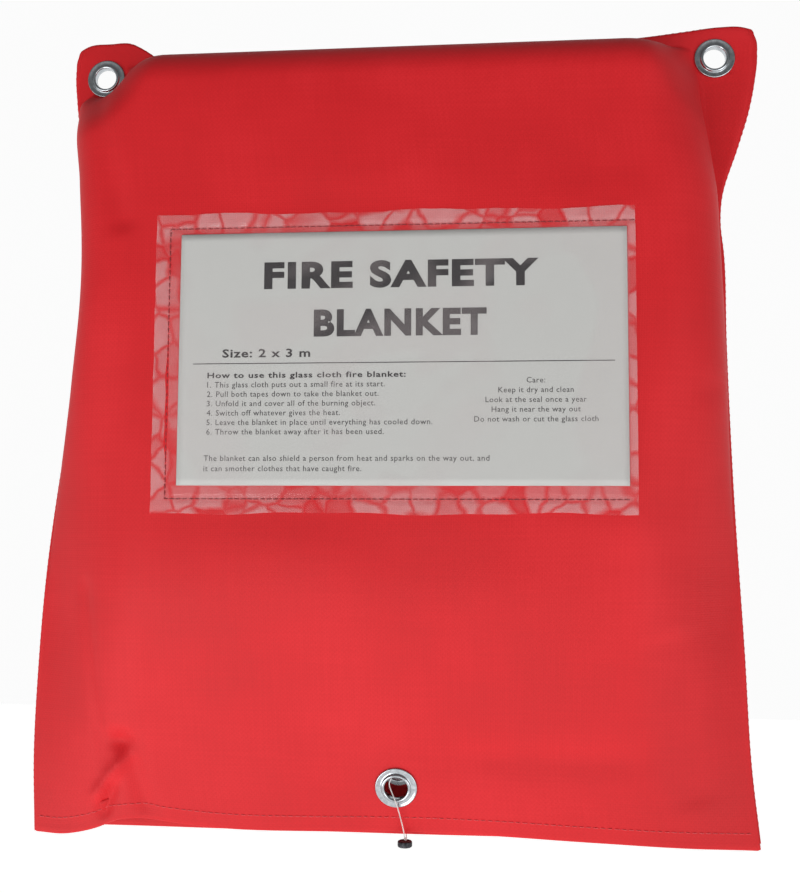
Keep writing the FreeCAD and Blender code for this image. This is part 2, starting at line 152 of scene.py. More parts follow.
# The case's outline and the edge of its bulge, as x at each level z, from the hem to the ears
LEFT_OUTLINE = curve_through([
    (-383, -183.2), (-354, -184.6), (-306, -183.8), (-258, -181.0), (-211, -175.8), (-166, -169.4),
    (-121, -164.5), (-62, -166.8), (-27, -171.0), (-12, -172.8), (5, -173.8), (12, -173.0), (15.5, -170.5),
    (17, -166.0),
])
RIGHT_OUTLINE = curve_through([
    (-383, 171.5), (-354, 168.5), (-293, 165.8), (-218, 162.3), (-144, 160.3), (-99, 159.8), (-84, 158.5),
    (-73, 159.2), (-45, 168.0), (-29, 173.0), (-12, 176.5), (2, 178.0), (12, 177.0), (15.5, 174.5),
    (17, 170.0),
])
LEFT_BULGE = curve_through([
    (-383, -181.7), (-354, -183.1), (-306, -182.3), (-258, -179.5), (-211, -174.4), (-166, -168.0),
    (-121, -163.2), (-62, -165.6), (-27, -169.5), (-14, -168.5), (-6, -161.0), (2, -151.0), (17, -140.0),
])
RIGHT_BULGE = curve_through([
    (-383, 170.0), (-354, 167.0), (-293, 164.5), (-218, 161.0), (-144, 159.0), (-88, 157.0), (-75, 156.5),
    (-54, 154.0), (-29, 150.5), (0, 147.0), (17, 142.0),
])
TOP_EDGE = curve_through([
    (-176, 13.0), (-168, 18.2), (-155, 19.4), (-144, 19.2), (-136, 15.0), (-128, 9.6), (-118, 6.9),
    (-60, 6.7), (20, 7.6), (60, 8.6), (100, 10.8), (124, 12.8), (144, 15.0), (160, 16.6), (170, 16.4),
    (178, 14.0),
])
HEM_PULL = curve_through([
    (-183, -4.0), (-168, -4.3), (-153, -1.0), (-139, 4.4), (-125, 6.0), (-110, 4.3), (-92, 2.6), (-40, 2.1),
    (5, 2.7), (40, 2.1), (80, 0.6), (120, -0.5), (150, -1.9), (172, -2.8),
])
BULGE_TOP = 5.5
SEAM_LIP = 1.3              # least width of flat cloth outside the bulge

# Depth of the front cloth along the middle, from the hem to the top
MIDDLE_DEPTH = curve_through([
    (-383, 8.8), (-371, 12.06), (-358.5, 15.46), (-346, 18.9), (-328, 24.0), (-305, 30.6), (-283, 36.6),
    (-264, 40.6), (-245, 42.3), (-222, 42.8), (-100, 42.8), (-40, 42.6), (8, 41.5),
])


def pocket_calm(x, z):
    """1 over the document pocket, where the cloth is held flat, and 0 away from it."""
    side = smooth((FILM_HIGH[0] + 14 - np.abs(x)) / 14)
    return side * smooth((FILM_HIGH[2] + 22 - z) / 22) * smooth((z - FILM_LOW[2] + 24) / 24)


def eyelet_calm(x, z, hem_eyelet):
    """1 round the eyelets, where the metal holds the cloth flat. hem_eyelet is the lowest one's level."""
    calm = 0
    for centre_x, centre_z in ((-EYELET_X, 0), (EYELET_X, 0), (0, hem_eyelet)):
        away = np.hypot(x - centre_x, z - centre_z)
        calm = np.maximum(calm, 1 - smooth((away - EYELET_RADIUS - 1) / 12))
    return calm


def line_places(x, z, start, end):
    """How far places lie to the right of a line from start to end, and 1 beside it, fading at its ends."""
    (ax, az), (bx, bz) = start, end
    length = math.hypot(bx - ax, bz - az)
    along = ((x - ax) * (bx - ax) + (z - az) * (bz - az)) / length
    off = ((x - ax) * (bz - az) - (z - az) * (bx - ax)) / length
    return off, smooth(along / 10 + 0.5) * smooth((length - along) / 10 + 0.5)


def wrinkles(x, z):
    """Soft folds of the front cloth, as changes of depth."""
    total = 1.0 * np.sin(x / 41 + z / 67) * np.sin(z / 53 - 0.6) * smooth((-40 - z) / 40 + 1)
    total = total + 0.45 * np.sin(x / 17 + 1.3) * np.sin(z / 29 + x / 61) * smooth((-220 - z) / 60 + 1)
    # the pinch in the lower left: a ridge up to the right, a groove that runs down beside it to the hem, a
    # dent above it and a soft hollow to its right
    off, beside = line_places(x, z, (-149, -368), (-132, -347))
    total = total + 4.0 * beside * bell(off, 2.6)
    off, beside = line_places(x, z, (-146, -378), (-139, -358))
    total = total - 3.3 * beside * bell(off, 3.5)
    off, beside = line_places(x, z, (-122, -374), (-129, -346))
    total = total - 2.2 * beside * bell(off, 5.0)
    total = total - 4.6 * bell(x + 134, 7) * bell(z + 339, 5)
    # the pack's side edge shows as a faint crease on the left
    off, beside = line_places(x, z, (-143.5, -352), (-151.5, -262))
    total = total - 1.4 * beside * bell(off, 3.5)
    # the pack's lower edge shows as a soft hollow to the right of the middle
    total = total - 1.7 * bell(z + 343, 8) * smooth((x - 10) / 40) * smooth((135 - x) / 40)
    # the pack's side edge on the right, low down
    off, beside = line_places(x, z, (141, -364), (127, -285))
    total = total - 1.7 * beside * bell(off, 13)
    # a small dent in the right edge
    total = total - 1.2 * bell(z + 170, 7) * bell(x - 150, 9)
    # the soft pull from the left ear down the case
    off, beside = line_places(x, z, (-150, -22), (-132, -92))
    total = total - 1.8 * beside * bell(off, 6.5)
    return total


def ear_hold(x, z):
    """0 at the wall eyelets, which hold the ears flat, rising to 1 over the body."""
    hold = 1
    for centre in (-EYELET_X, EYELET_X):
        away = np.hypot(x - centre, (z - 1) * 0.9)
        hold = hold * shoulder(away - EYELET_RADIUS - 1, 28, 1.6)
    return hold


def tent(distance, reach):
    """The slanted rise of cloth that is stretched from a seam to the pack's edge."""
    return np.sin(np.clip(distance / reach, 0, 1) * math.pi / 2) ** 1.25


def side_rise(distance, z, reach, low_reach, power):
    """How full the bulge is at a distance in from its side: plump in the middle of the case, softer at the
    ears and stretched like a tent low down, where the case is wider than the pack."""
    ear = smooth((z + 75) / 60)
    low = smooth((-110 - z) / 180)
    plump = shoulder(distance, reach + 3 * ear, power - 0.3 * ear)
    return plump * (1 - low) + tent(distance, low_reach) * low


def front_depth(x, z):
    """Depth of the front cloth's outer face."""
    bulge = side_rise(x - LEFT_BULGE(z), z, 28, 62, 2.1) * side_rise(RIGHT_BULGE(z) - x, z, 34, 56, 2.0)
    bulge = bulge * shoulder(BULGE_TOP - z, 25, 2.2) * ear_hold(x, z)
    depth = FLANGE_FRONT + (MIDDLE_DEPTH(z) - FLANGE_FRONT) * bulge
    calm = np.maximum(pocket_calm(x, z), eyelet_calm(x, z, FRONT_EYELET))
    return np.maximum(depth + wrinkles(x, z) * np.minimum(bulge * 1.6, 1) * (1 - calm), FLANGE_FRONT)


def seam_round(from_edge):
    """How far the cloth turns back to the wall just inside its outline."""
    t = np.clip(from_edge / SEAM_LIP, 0, 1)
    return 1.1 * (1 - np.sqrt(1 - (1 - t) ** 2))


# Mesh making

def mesh_object(name, points, faces, uvs=None):
    """An object from points in metres and faces. uvs holds a pair per point, in metres along the cloth."""
    mesh = bpy.data.meshes.new(name)
    mesh.from_pydata([tuple(p) for p in points], [], faces)
    if uvs is not None:
        layer = mesh.uv_layers.new(name="cloth")
        corners = np.empty(len(mesh.loops), dtype=np.int64)
        mesh.loops.foreach_get("vertex_index", corners)
        layer.data.foreach_set("uv", np.asarray(uvs, float)[corners].ravel())
    mesh.polygons.foreach_set("use_smooth", [True] * len(mesh.polygons))
    mesh.update()
    made = bpy.data.objects.new(name, mesh)
    bpy.context.scene.collection.objects.link(made)
    return made


def grid_faces(rows, columns):
    """Quads of a grid of points kept row by row."""
    faces = []
    for row in range(rows - 1):
        for column in range(columns - 1):
            corner = row * columns + column
            faces.append((corner, corner + columns, corner + columns + 1, corner + 1))
    return faces


def lengths_along(points, axis):
    """Running length along a grid of points, which is where each lay on the flat cloth."""
    steps = np.linalg.norm(np.diff(points, axis=axis), axis=2)
    start = np.zeros_like(np.take(steps, [0], axis=axis))
    return np.cumsum(np.concatenate([start, steps], axis=axis), axis=axis)


def cloth_grid(name, x, depth, z):
    """A sheet from a grid of places in millimetres, with its flat lengths as UVs."""
    points = np.stack([x, -depth, z], axis=2) * MM
    across = lengths_along(points, 1)
    across = across - across[:, across.shape[1] // 2][:, None]
    down = lengths_along(points, 0)
    down = np.repeat(down[:, down.shape[1] // 2][:, None], down.shape[1], axis=1)
    uvs = np.stack([across, -down], axis=2).reshape(-1, 2)
    rows, columns = x.shape
    return mesh_object(name, points.reshape(-1, 3), grid_faces(rows, columns), uvs)


def thicken(piece, thickness, offset=-1.0):
    solid = piece.modifiers.new("thickness", "SOLIDIFY")
    solid.thickness = thickness * MM
    solid.offset = offset
    return piece


def finish_with(piece, material):
    piece.data.materials.clear()
    piece.data.materials.append(material)
    return piece


# Materials

def linear(hex_colour):
    """A shader colour from an sRGB hex value."""
    parts = [int(hex_colour[i:i + 2], 16) / 255 for i in (1, 3, 5)]
    return [c / 12.92 if c <= 0.04045 else ((c + 0.055) / 1.055) ** 2.4 for c in parts] + [1.0]


def add(tree, kind, settings=None, links=None, stops=()):
    """Adds a node with its settings and the sockets that feed it. stops are a ramp's (place, colour)."""
    node = tree.nodes.new("ShaderNode" + kind)
    for name, value in (settings or {}).items():
        if isinstance(name, str) and hasattr(node, name):
            setattr(node, name, value)
        else:
            node.inputs[name].default_value = value
    for name, source in (links or {}).items():
        tree.links.new(source, node.inputs[name])
    for number, (place, hex_colour) in enumerate(stops):
        if number == len(node.color_ramp.elements):
            node.color_ramp.elements.new(1.0)
        node.color_ramp.elements[number].position = place
        node.color_ramp.elements[number].color = linear(hex_colour)
    return node


def feed(tree, shader, sockets):
    """Links outputs to the shader's sockets."""
    for name, source in sockets.items():
        tree.links.new(source, shader.inputs[name])


def new_material(name):
    """An empty material with its node tree and its surface's shader."""
    material = bpy.data.materials.new(name)
    material.use_nodes = True
    tree = material.node_tree
    tree.nodes.clear()
    shader = add(tree, "BsdfPrincipled")
    add(tree, "OutputMaterial", links={"Surface": shader.outputs["BSDF"]})
    return material, tree, shader


def per(size):
    """The scale that gives a noise or cell texture features of a size in millimetres."""
    return 1 / (size * MM)


def bands(direction, period):
    """Settings of a wave texture with one even band each period in millimetres."""
    return {"wave_type": "BANDS", "bands_direction": direction, "wave_profile": "SIN",
            "Scale": math.pi / 10 * per(period)}


def plain_weave(tree, coordinates, pitch):
    """A plain weave, with threads a pitch apart that go over and under each other by turns: which thread is
    on top, from -1 to 1, and the height."""
    warp = add(tree, "TexWave", bands("X", 2 * pitch), {"Vector": coordinates})
    weft = add(tree, "TexWave", bands("Y", 2 * pitch), {"Vector": coordinates})
    warp = add(tree, "MapRange", {"To Min": -1.0}, {"Value": warp.outputs["Fac"]})
    weft = add(tree, "MapRange", {"To Min": -1.0}, {"Value": weft.outputs["Fac"]})
    over = add(tree, "Math", {"operation": "MULTIPLY"}, {0: warp.outputs[0], 1: weft.outputs[0]})
    height = add(tree, "Math", {"operation": "ABSOLUTE"}, {0: over.outputs[0]})
    return over.outputs[0], height.outputs[0]


def coated_polyester():
    """Woven polyester with a coat of PVC: the coat fills the weave, so the threads show as a fine low grain
    under a soft satin sheen, thicker threads draw faint streaks both ways, and handling leaves the red a
    little cloudy. The weave is drawn a little coarser than the real one, so that it shows."""
    material, tree, shader = new_material("coated_polyester")
    thread_pitch = 1.1
    streak_width, streak_length = 1.4, 40
    flat = add(tree, "UVMap", {"uv_map": "cloth"}).outputs["UV"]
    over, height = plain_weave(tree, flat, thread_pitch)
    cloud = add(tree, "TexNoise", {"Scale": per(110), "Detail": 3.0, "Roughness": 0.6}, {"Vector": flat})
    grain = add(tree, "TexNoise", {"Scale": per(thread_pitch), "Detail": 2.0}, {"Vector": flat})
    tone = add(tree, "Math", {"operation": "MULTIPLY_ADD", 1: 0.06}, {0: over, 2: cloud.outputs["Fac"]})
    tone = add(tree, "Math", {"operation": "MULTIPLY_ADD", 1: 0.20},
               {0: grain.outputs["Fac"], 2: tone.outputs[0]})
    for across, along in ((streak_width, streak_length), (streak_length, streak_width)):
        drawn = add(tree, "Mapping", {"Scale": (per(across), per(along), 1)}, {"Vector": flat})
        streaks = add(tree, "TexNoise", {"Scale": 1.0, "Detail": 1.0}, {"Vector": drawn.outputs["Vector"]})
        tone = add(tree, "Math", {"operation": "MULTIPLY_ADD", 1: 0.16},
                   {0: streaks.outputs["Fac"], 2: tone.outputs[0]})
    red = add(tree, "ValToRGB", links={"Fac": tone.outputs[0]},
              stops=[(0.44, "#C6141B"), (0.77, "#D31820"), (1.0, "#DC2028")])
    rough = add(tree, "MapRange", {"To Min": 0.56, "To Max": 0.68}, {"Value": cloud.outputs["Fac"]})
    soft = add(tree, "Bump", {"Strength": 0.25, "Distance": 1.2 * MM}, {"Height": cloud.outputs["Fac"]})
    fine = add(tree, "Bump", {"Strength": 0.5, "Distance": 0.03 * MM},
               {"Height": grain.outputs["Fac"], "Normal": soft.outputs["Normal"]})
    woven = add(tree, "Bump", {"Strength": 0.5, "Distance": 0.08 * MM},
                {"Height": height, "Normal": fine.outputs["Normal"]})
    feed(tree, shader, {"Base Color": red.outputs["Color"], "Roughness": rough.outputs[0],
                        "Normal": woven.outputs["Normal"]})
    shader.inputs["IOR"].default_value = 1.4
    shader.inputs["Sheen Weight"].default_value = 0.02
    return material


def sewing_thread(name, dark, light):
    """Twisted polyester sewing thread: its plies show as slanting bands with a slight shine."""
    material, tree, shader = new_material(name)
    place = add(tree, "TexCoord").outputs["Object"]
    turned = add(tree, "Mapping", {"Rotation": (0, math.radians(45), 0)}, {"Vector": place})
    plies = add(tree, "TexWave", bands("X", 0.5), {"Vector": turned.outputs["Vector"]})
    colour = add(tree, "ValToRGB", links={"Fac": plies.outputs["Fac"]}, stops=[(0.2, dark), (0.8, light)])
    twist = add(tree, "Bump", {"Strength": 1.0, "Distance": 0.06 * MM}, {"Height": plies.outputs["Fac"]})
    feed(tree, shader, {"Base Color": colour.outputs["Color"], "Normal": twist.outputs["Normal"]})
    shader.inputs["Roughness"].default_value = 0.5
    return material


def nickel_plate():
    """Nickel plate on pressed brass: bright and slightly cool, with faint turning marks and dull spots."""
    material, tree, shader = new_material("nickel_plate")
    place = add(tree, "TexCoord").outputs["Object"]
    spots = add(tree, "TexNoise", {"Scale": per(2.4), "Detail": 4.0, "Roughness": 0.65}, {"Vector": place})
    marks = add(tree, "TexNoise", {"Scale": per(0.4), "Detail": 1.0}, {"Vector": place})
    colour = add(tree, "ValToRGB", links={"Fac": spots.outputs["Fac"]},
                 stops=[(0.3, "#A3A8AD"), (0.7, "#CBD0D4")])
    rough = add(tree, "MapRange", {"From Min": 0.35, "From Max": 0.7, "To Min": 0.10, "To Max": 0.22},
                {"Value": spots.outputs["Fac"]})
    turned = add(tree, "Bump", {"Strength": 0.35, "Distance": 0.02 * MM}, {"Height": marks.outputs["Fac"]})
    feed(tree, shader, {"Base Color": colour.outputs["Color"], "Roughness": rough.outputs[0],
                        "Normal": turned.outputs["Normal"]})
    shader.inputs["Metallic"].default_value = 1.0
    return material


def soft_pvc_film():
    """Clear soft PVC film: glossy and wavy. Inside its seam it is nearly clear, under a faint white veil that
    rises and falls in broad soft bands, a painted soft reflection; in its loose edges it looks milky in the
    patches that lift off the cloth, with clear lines between them where it clings. Round the card it is half
    as milky."""
    material, tree, shader = new_material("soft_pvc_film")
    patch = {"Scale": per(14)}
    flat = add(tree, "UVMap", {"uv_map": "cloth"}).outputs["UV"]
    loose = add(tree, "Attribute", {"attribute_name": "loose"}).outputs["Fac"]
    warp = add(tree, "TexNoise", {"Scale": per(17)}, {"Vector": flat})
    bent = add(tree, "VectorMath", {"operation": "MULTIPLY_ADD", 1: (12 * MM, 12 * MM, 0.0)},
               {0: warp.outputs["Color"], 2: flat})
    slant = add(tree, "Mapping", {"Rotation": (0, 0, math.radians(25))}, {"Vector": bent.outputs[0]})
    borders = add(tree, "TexVoronoi", {"feature": "DISTANCE_TO_EDGE"} | patch,
                  {"Vector": slant.outputs["Vector"]})
    cells = add(tree, "TexVoronoi", patch, {"Vector": slant.outputs["Vector"]})
    chance = add(tree, "SeparateColor", links={"Color": cells.outputs["Color"]})
    lifted = add(tree, "MapRange", {"From Min": 0.02, "From Max": 0.12, "To Min": 0.25},
                 {"Value": borders.outputs["Distance"]})
    amount = add(tree, "MapRange", {"From Min": 0.15, "From Max": 0.45, "To Min": 0.06, "To Max": 0.30},
                 {"Value": chance.outputs["Red"]})
    milk = add(tree, "Math", {"operation": "MULTIPLY"}, {0: lifted.outputs[0], 1: amount.outputs[0]})
    # painted soft reflection: broad bands of noise set how white the veil is inside the seam (clear, 0.04 to
    # 0.14), standing in for reflections on the film over the card
    painted_reflection_bands = add(tree, "TexNoise", {"Scale": per(62), "Detail": 1.0, "Distortion": 1.5}, {"Vector": flat})
    clear = add(tree, "MapRange", {"From Min": 0.44, "From Max": 0.58, "To Min": 0.04, "To Max": 0.14},
                {"Value": painted_reflection_bands.outputs["Fac"]})
    # the veil mixes the painted soft reflection inside the seam with the milky patches of the loose edges
    veil = add(tree, "Mix", {"data_type": "FLOAT"},
               {"Factor": loose, "A": clear.outputs[0], "B": milk.outputs[0]})
    ripples = add(tree, "TexNoise", {"Scale": per(36), "Detail": 2.0, "Distortion": 0.8}, {"Vector": flat})
    wavy = add(tree, "Bump", {"Strength": 0.30, "Distance": 2.0 * MM}, {"Height": ripples.outputs["Fac"]})
    feed(tree, shader, {"Alpha": veil.outputs[0], "Normal": wavy.outputs["Normal"]})
    shader.inputs["Base Color"].default_value = linear("#EEDFE0")
    shader.inputs["Roughness"].default_value = 0.12
    shader.inputs["IOR"].default_value = 1.52
    return material


def printed_paper():
    """Plain office paper: matt, a little grey, with a fine fibre grain."""
    material, tree, shader = new_material("printed_paper")
    flat = add(tree, "UVMap", {"uv_map": "cloth"}).outputs["UV"]
    fibres = add(tree, "TexNoise", {"Scale": per(0.7), "Detail": 3.0, "Roughness": 0.7}, {"Vector": flat})
    colour = add(tree, "ValToRGB", links={"Fac": fibres.outputs["Fac"]},
                 stops=[(0.3, "#BCBDBA"), (0.7, "#C9CAC7")])
    grain = add(tree, "Bump", {"Strength": 0.4, "Distance": 0.02 * MM}, {"Height": fibres.outputs["Fac"]})
    feed(tree, shader, {"Base Color": colour.outputs["Color"], "Normal": grain.outputs["Normal"]})
    shader.inputs["Roughness"].default_value = 0.8
    return material


def toner_ink():
    """Black toner on paper: a dense neutral black with a faint gloss and a slightly broken tone."""
    material, tree, shader = new_material("toner_ink")
    place = add(tree, "TexCoord").outputs["Object"]
    specks = add(tree, "TexNoise", {"Scale": per(0.35), "Detail": 2.0}, {"Vector": place})
    colour = add(tree, "ValToRGB", links={"Fac": specks.outputs["Fac"]},
                 stops=[(0.35, "#1B1B1D"), (0.75, "#353437")])
    feed(tree, shader, {"Base Color": colour.outputs["Color"]})
    shader.inputs["Roughness"].default_value = 0.45
    return material


def glass_cloth():
    """Woven glass fibre: off-white with a silky shine along its flat bundles of filaments."""
    material, tree, shader = new_material("glass_cloth")
    bundle_pitch = 1.6
    flat = add(tree, "UVMap", {"uv_map": "cloth"}).outputs["UV"]
    over, height = plain_weave(tree, flat, bundle_pitch)
    cloud = add(tree, "TexNoise", {"Scale": per(33), "Detail": 3.0}, {"Vector": flat})
    tone = add(tree, "Math", {"operation": "MULTIPLY_ADD", 1: 0.16}, {0: over, 2: cloud.outputs["Fac"]})
    colour = add(tree, "ValToRGB", links={"Fac": tone.outputs[0]}, stops=[(0.2, "#D3CDBE"), (0.8, "#E9E5DA")])
    woven = add(tree, "Bump", {"Strength": 0.7, "Distance": 0.25 * MM}, {"Height": height})
    feed(tree, shader, {"Base Color": colour.outputs["Color"], "Normal": woven.outputs["Normal"]})
    shader.inputs["Roughness"].default_value = 0.42
    shader.inputs["Sheen Weight"].default_value = 0.25
    return material


def cotton_webbing():
    """Woven cotton webbing: cream, with ribs across the tape and a dry matt surface."""
    material, tree, shader = new_material("cotton_webbing")
    rib_pitch, yarn_pitch = 1.8, 1.0
    flat = add(tree, "UVMap", {"uv_map": "cloth"}).outputs["UV"]
    ribs = add(tree, "TexWave", bands("Y", rib_pitch), {"Vector": flat})
    yarns = add(tree, "TexWave", bands("X", yarn_pitch), {"Vector": flat})
    weave = add(tree, "Math", {"operation": "MULTIPLY"}, {0: ribs.outputs["Fac"], 1: yarns.outputs["Fac"]})
    colour = add(tree, "ValToRGB", links={"Fac": weave.outputs[0]},
                 stops=[(0.0, "#B8AD93"), (0.7, "#E2DAC6")])
    woven = add(tree, "Bump", {"Strength": 0.8, "Distance": 0.4 * MM}, {"Height": weave.outputs[0]})
    feed(tree, shader, {"Base Color": colour.outputs["Color"], "Normal": woven.outputs["Normal"]})
    shader.inputs["Roughness"].default_value = 0.85
    return material


def nylon_line():
    """Clear nylon line: smooth, half see-through, with a bright narrow highlight."""
    material, tree, shader = new_material("nylon_line")
    place = add(tree, "TexCoord").outputs["Object"]
    haze = add(tree, "TexNoise", {"Scale": per(1.4)}, {"Vector": place})
    colour = add(tree, "ValToRGB", links={"Fac": haze.outputs["Fac"]},
                 stops=[(0.3, "#E4D9D6"), (0.7, "#F6F0EE")])
    feed(tree, shader, {"Base Color": colour.outputs["Color"]})
    shader.inputs["Alpha"].default_value = 0.62
    shader.inputs["Roughness"].default_value = 0.15
    shader.inputs["IOR"].default_value = 1.53
    return material


def pressed_lead():
    """Pressed lead: dull blue-grey, dented by the pliers and darker where it has tarnished."""
    material, tree, shader = new_material("pressed_lead")
    place = add(tree, "TexCoord").outputs["Object"]
    tarnish = add(tree, "TexNoise", {"Scale": per(2), "Detail": 4.0}, {"Vector": place})
    dents = add(tree, "TexVoronoi", {"Scale": per(1.1)}, {"Vector": place})
    colour = add(tree, "ValToRGB", links={"Fac": tarnish.outputs["Fac"]},
                 stops=[(0.35, "#26262A"), (0.7, "#55555A")])
    dented = add(tree, "Bump", {"Strength": 0.5, "Distance": 0.15 * MM},
                 {"Height": dents.outputs["Distance"]})
    feed(tree, shader, {"Base Color": colour.outputs["Color"], "Normal": dented.outputs["Normal"]})
    shader.inputs["Metallic"].default_value = 0.85
    shader.inputs["Roughness"].default_value = 0.5
    return material


def studio_paper():
    """Matt white studio paper that glows a little, with a hardly visible mottle."""
    material, tree, shader = new_material("studio_paper")
    place = add(tree, "TexCoord").outputs["Object"]
    mottle = add(tree, "TexNoise", {"Scale": per(500)}, {"Vector": place})
    colour = add(tree, "ValToRGB", links={"Fac": mottle.outputs["Fac"]},
                 stops=[(0.3, "#F0F0EE"), (0.7, "#F4F4F2")])
    feed(tree, shader, {"Base Color": colour.outputs["Color"]})
    shader.inputs["Roughness"].default_value = 0.9
    shader.inputs["Emission Color"].default_value = linear("#FFFFFF")
    shader.inputs["Emission Strength"].default_value = 0.75
    return material


FABRIC = coated_polyester()
SEAM_THREAD = sewing_thread("seam_thread", "#C92A30", "#E6666A")
POCKET_THREAD = sewing_thread("pocket_thread", "#6E1A1F", "#A8383E")
TAPE_THREAD = sewing_thread("tape_thread", "#A89F8C", "#DDD6C6")
NICKEL = nickel_plate()
FILM = soft_pvc_film()
PAPER = printed_paper()
INK = toner_ink()
GLASS_CLOTH = glass_cloth()
WEBBING = cotton_webbing()
NYLON = nylon_line()
LEAD = pressed_lead()


# Front of the case

def spread(parts):
    """Fractions 0 to 1 whose steps follow the parts, each (share, count)."""
    steps = np.concatenate([[share / count] * count for share, count in parts])
    return np.concatenate([[0], np.cumsum(steps)]) / steps.sum()


def rounded_steps(count):
    """Steps from 0 to 1 that are finest at 0, for a steep shoulder."""
    return 1 - np.cos(np.linspace(0, math.pi / 2, count + 1))


def front_rows():
    """Nominal levels of the front cloth's rows, from the top edge to the hem."""
    top = TOP_EDGE(0)
    flange = np.linspace(top, BULGE_TOP, 4)[:-1]
    rise = BULGE_TOP - 30 * rounded_steps(22)
    rest = np.linspace(rise[-1], HEM, 175)[1:]
    return np.concatenate([flange, rise, rest])


def front_columns(level):
    """Places across the front cloth at a level, from the left outline to the right one."""
    left, right = LEFT_OUTLINE(level), RIGHT_OUTLINE(level)
    left_bulge = max(LEFT_BULGE(level), left + SEAM_LIP)
    right_bulge = min(RIGHT_BULGE(level), right - SEAM_LIP)
    reach = 30
    flange = np.linspace(0, 1, 9)
    steep = rounded_steps(16)
    middle = np.linspace(left_bulge + reach, right_bulge - reach, 131)
    return np.concatenate([
        left + (left_bulge - left) * flange[:-1], left_bulge + reach * steep[:-1], middle,
        right_bulge - reach * steep[:-1][::-1], right_bulge + (right - right_bulge) * flange[1:],
    ])


def curved_rows(places_across):
    """Places across and levels of a cloth whose top rows follow the top edge. places_across gives a row's
    places from the level that its outline is read at."""
    levels = front_rows()
    ear_rise = TOP_EDGE(HALF_WIDTH) - TOP_EDGE(0)
    fade = smooth(1 + (levels - TOP_EDGE(0)) / EAR_CURVE)
    x = np.array([places_across(level) for level in levels + ear_rise * fade])
    return x, levels[:, None] + (TOP_EDGE(x) - TOP_EDGE(0)) * fade[:, None]


def front_grid():
    """Places of the front cloth's outer face: x, depth and z."""
    x, z = curved_rows(front_columns)
    z = z + smooth((-335 - z) / 48) * HEM_PULL(x)
    depth = front_depth(x, z)
    edge = np.minimum(x - x[:, :1], x[:, -1:] - x)
    edge = np.minimum(edge, (TOP_EDGE(x) - z) + 0 * x)
    depth = np.maximum(depth - seam_round(edge), BACK_REAR + 0.4)
    return x, depth, z


def turned_hem(x, depth, z, inwards, radius):
    """Adds the rows that carry a cloth round its hem and up inside the mouth. inwards is 1 if the inside lies
    behind the cloth and -1 if it lies in front. The turned part is narrower than the cloth, so that it
    doesn't show beside the seams."""
    middle = (x[-1, 0] + x[-1, -1]) / 2
    half = abs(x[-1, -1] - x[-1, 0]) / 2

    def turned(row, share_in, behind, below):
        across = middle + (x[row] - middle) * (1 - share_in * HEM_FOLD_INSET / half)
        return across, np.maximum(depth[row] - inwards * behind, BACK_REAR + 0.4), z[row] - below

    rows = []
    for degrees, share_in in ((60, 0.35), (120, 0.7)):
        turn = math.radians(degrees)
        rows.append(turned(-1, share_in, radius * (1 - math.cos(turn)), radius * math.sin(turn)))
    for row in range(1, 2 + int(HEM_FOLD / (z[-2, 0] - z[-1, 0]))):
        rows.append(turned(-row, 1, 2 * radius, 0))
    more = [np.array(part) for part in zip(*rows)]
    return [np.concatenate(pair) for pair in zip((x, depth, z), more)]


def mouth_weights(piece):
    """Lets the cloth beside the mouth stay sewn to the case while its middle lifts with the flap."""
    values = piece.data.attributes["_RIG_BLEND"].data
    for vertex, value in zip(piece.data.vertices, values):
        x, z = vertex.co.x / MM, vertex.co.z / MM
        edge = min(x - float(LEFT_OUTLINE(z)), float(RIGHT_OUTLINE(z)) - x)
        value.value *= float(smooth((edge - 1) / 20))


def bend_at_mouth(piece):
    """Blends a piece of the front cloth from the case to the mouth flap."""
    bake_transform(piece, "case", "mouth",
             start=at(0, PAN_DEPTH, MOUTH_TOP + BEND_ABOVE), end=at(0, PAN_DEPTH, MOUTH_TOP - BEND_BELOW))
    mouth_weights(piece)
    return piece


def punch_holes(piece, hem_eyelet):
    """Cuts the cloth away under the flanges of the two wall eyelets and of the hem eyelet at its level."""
    work = bmesh.new()
    work.from_mesh(piece.data)
    for centre_x, centre_z in ((-EYELET_X, 0), (EYELET_X, 0), (0, hem_eyelet)):
        centre = at(centre_x, 0, centre_z)
        inside = []
        for face in work.faces:
            away = face.calc_center_median() - centre
            if math.hypot(away.x, away.z) < CUT_RADIUS * MM:
                inside.append(face)
        bmesh.ops.delete(work, geom=inside, context="FACES")
    work.to_mesh(piece.data)
    work.free()


def front_cloth():
    """One piece of coated cloth from the top seam to the mouth's hem, pulled over the folded blanket."""
    x, depth, z = turned_hem(*front_grid(), 1, FRONT_TURN)
    piece = cloth_grid("front_cloth", x, depth, z)
    punch_holes(piece, FRONT_EYELET)
    bend_at_mouth(piece)
    thicken(piece, SHOWN_CLOTH)
    finish_with(piece, FABRIC)
    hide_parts("front_panel", "mouth_flap")
    return piece


FRONT_CLOTH = front_cloth()


# Back of the case

def back_depth(x, z):
    """Depth of the back cloth's rear face, which lies nearly flat against the wall."""
    from_side = np.minimum(x - LEFT_OUTLINE(z), RIGHT_OUTLINE(z) - x)
    sway = 0.35 * np.sin(x / 37) * np.sin(z / 49 + 0.7) + 0.2 * np.sin(x / 15 + z / 21)
    return BACK_REAR + 0.35 + sway * (1 - eyelet_calm(x, z, BACK_EYELET)) * smooth(from_side / 20)


def back_columns(level):
    """Places across the back cloth at a level, closer together beside the seams."""
    left, right = LEFT_OUTLINE(level), RIGHT_OUTLINE(level)
    return left + (right - left) * spread([(0.03, 6), (0.94, 90), (0.03, 6)])


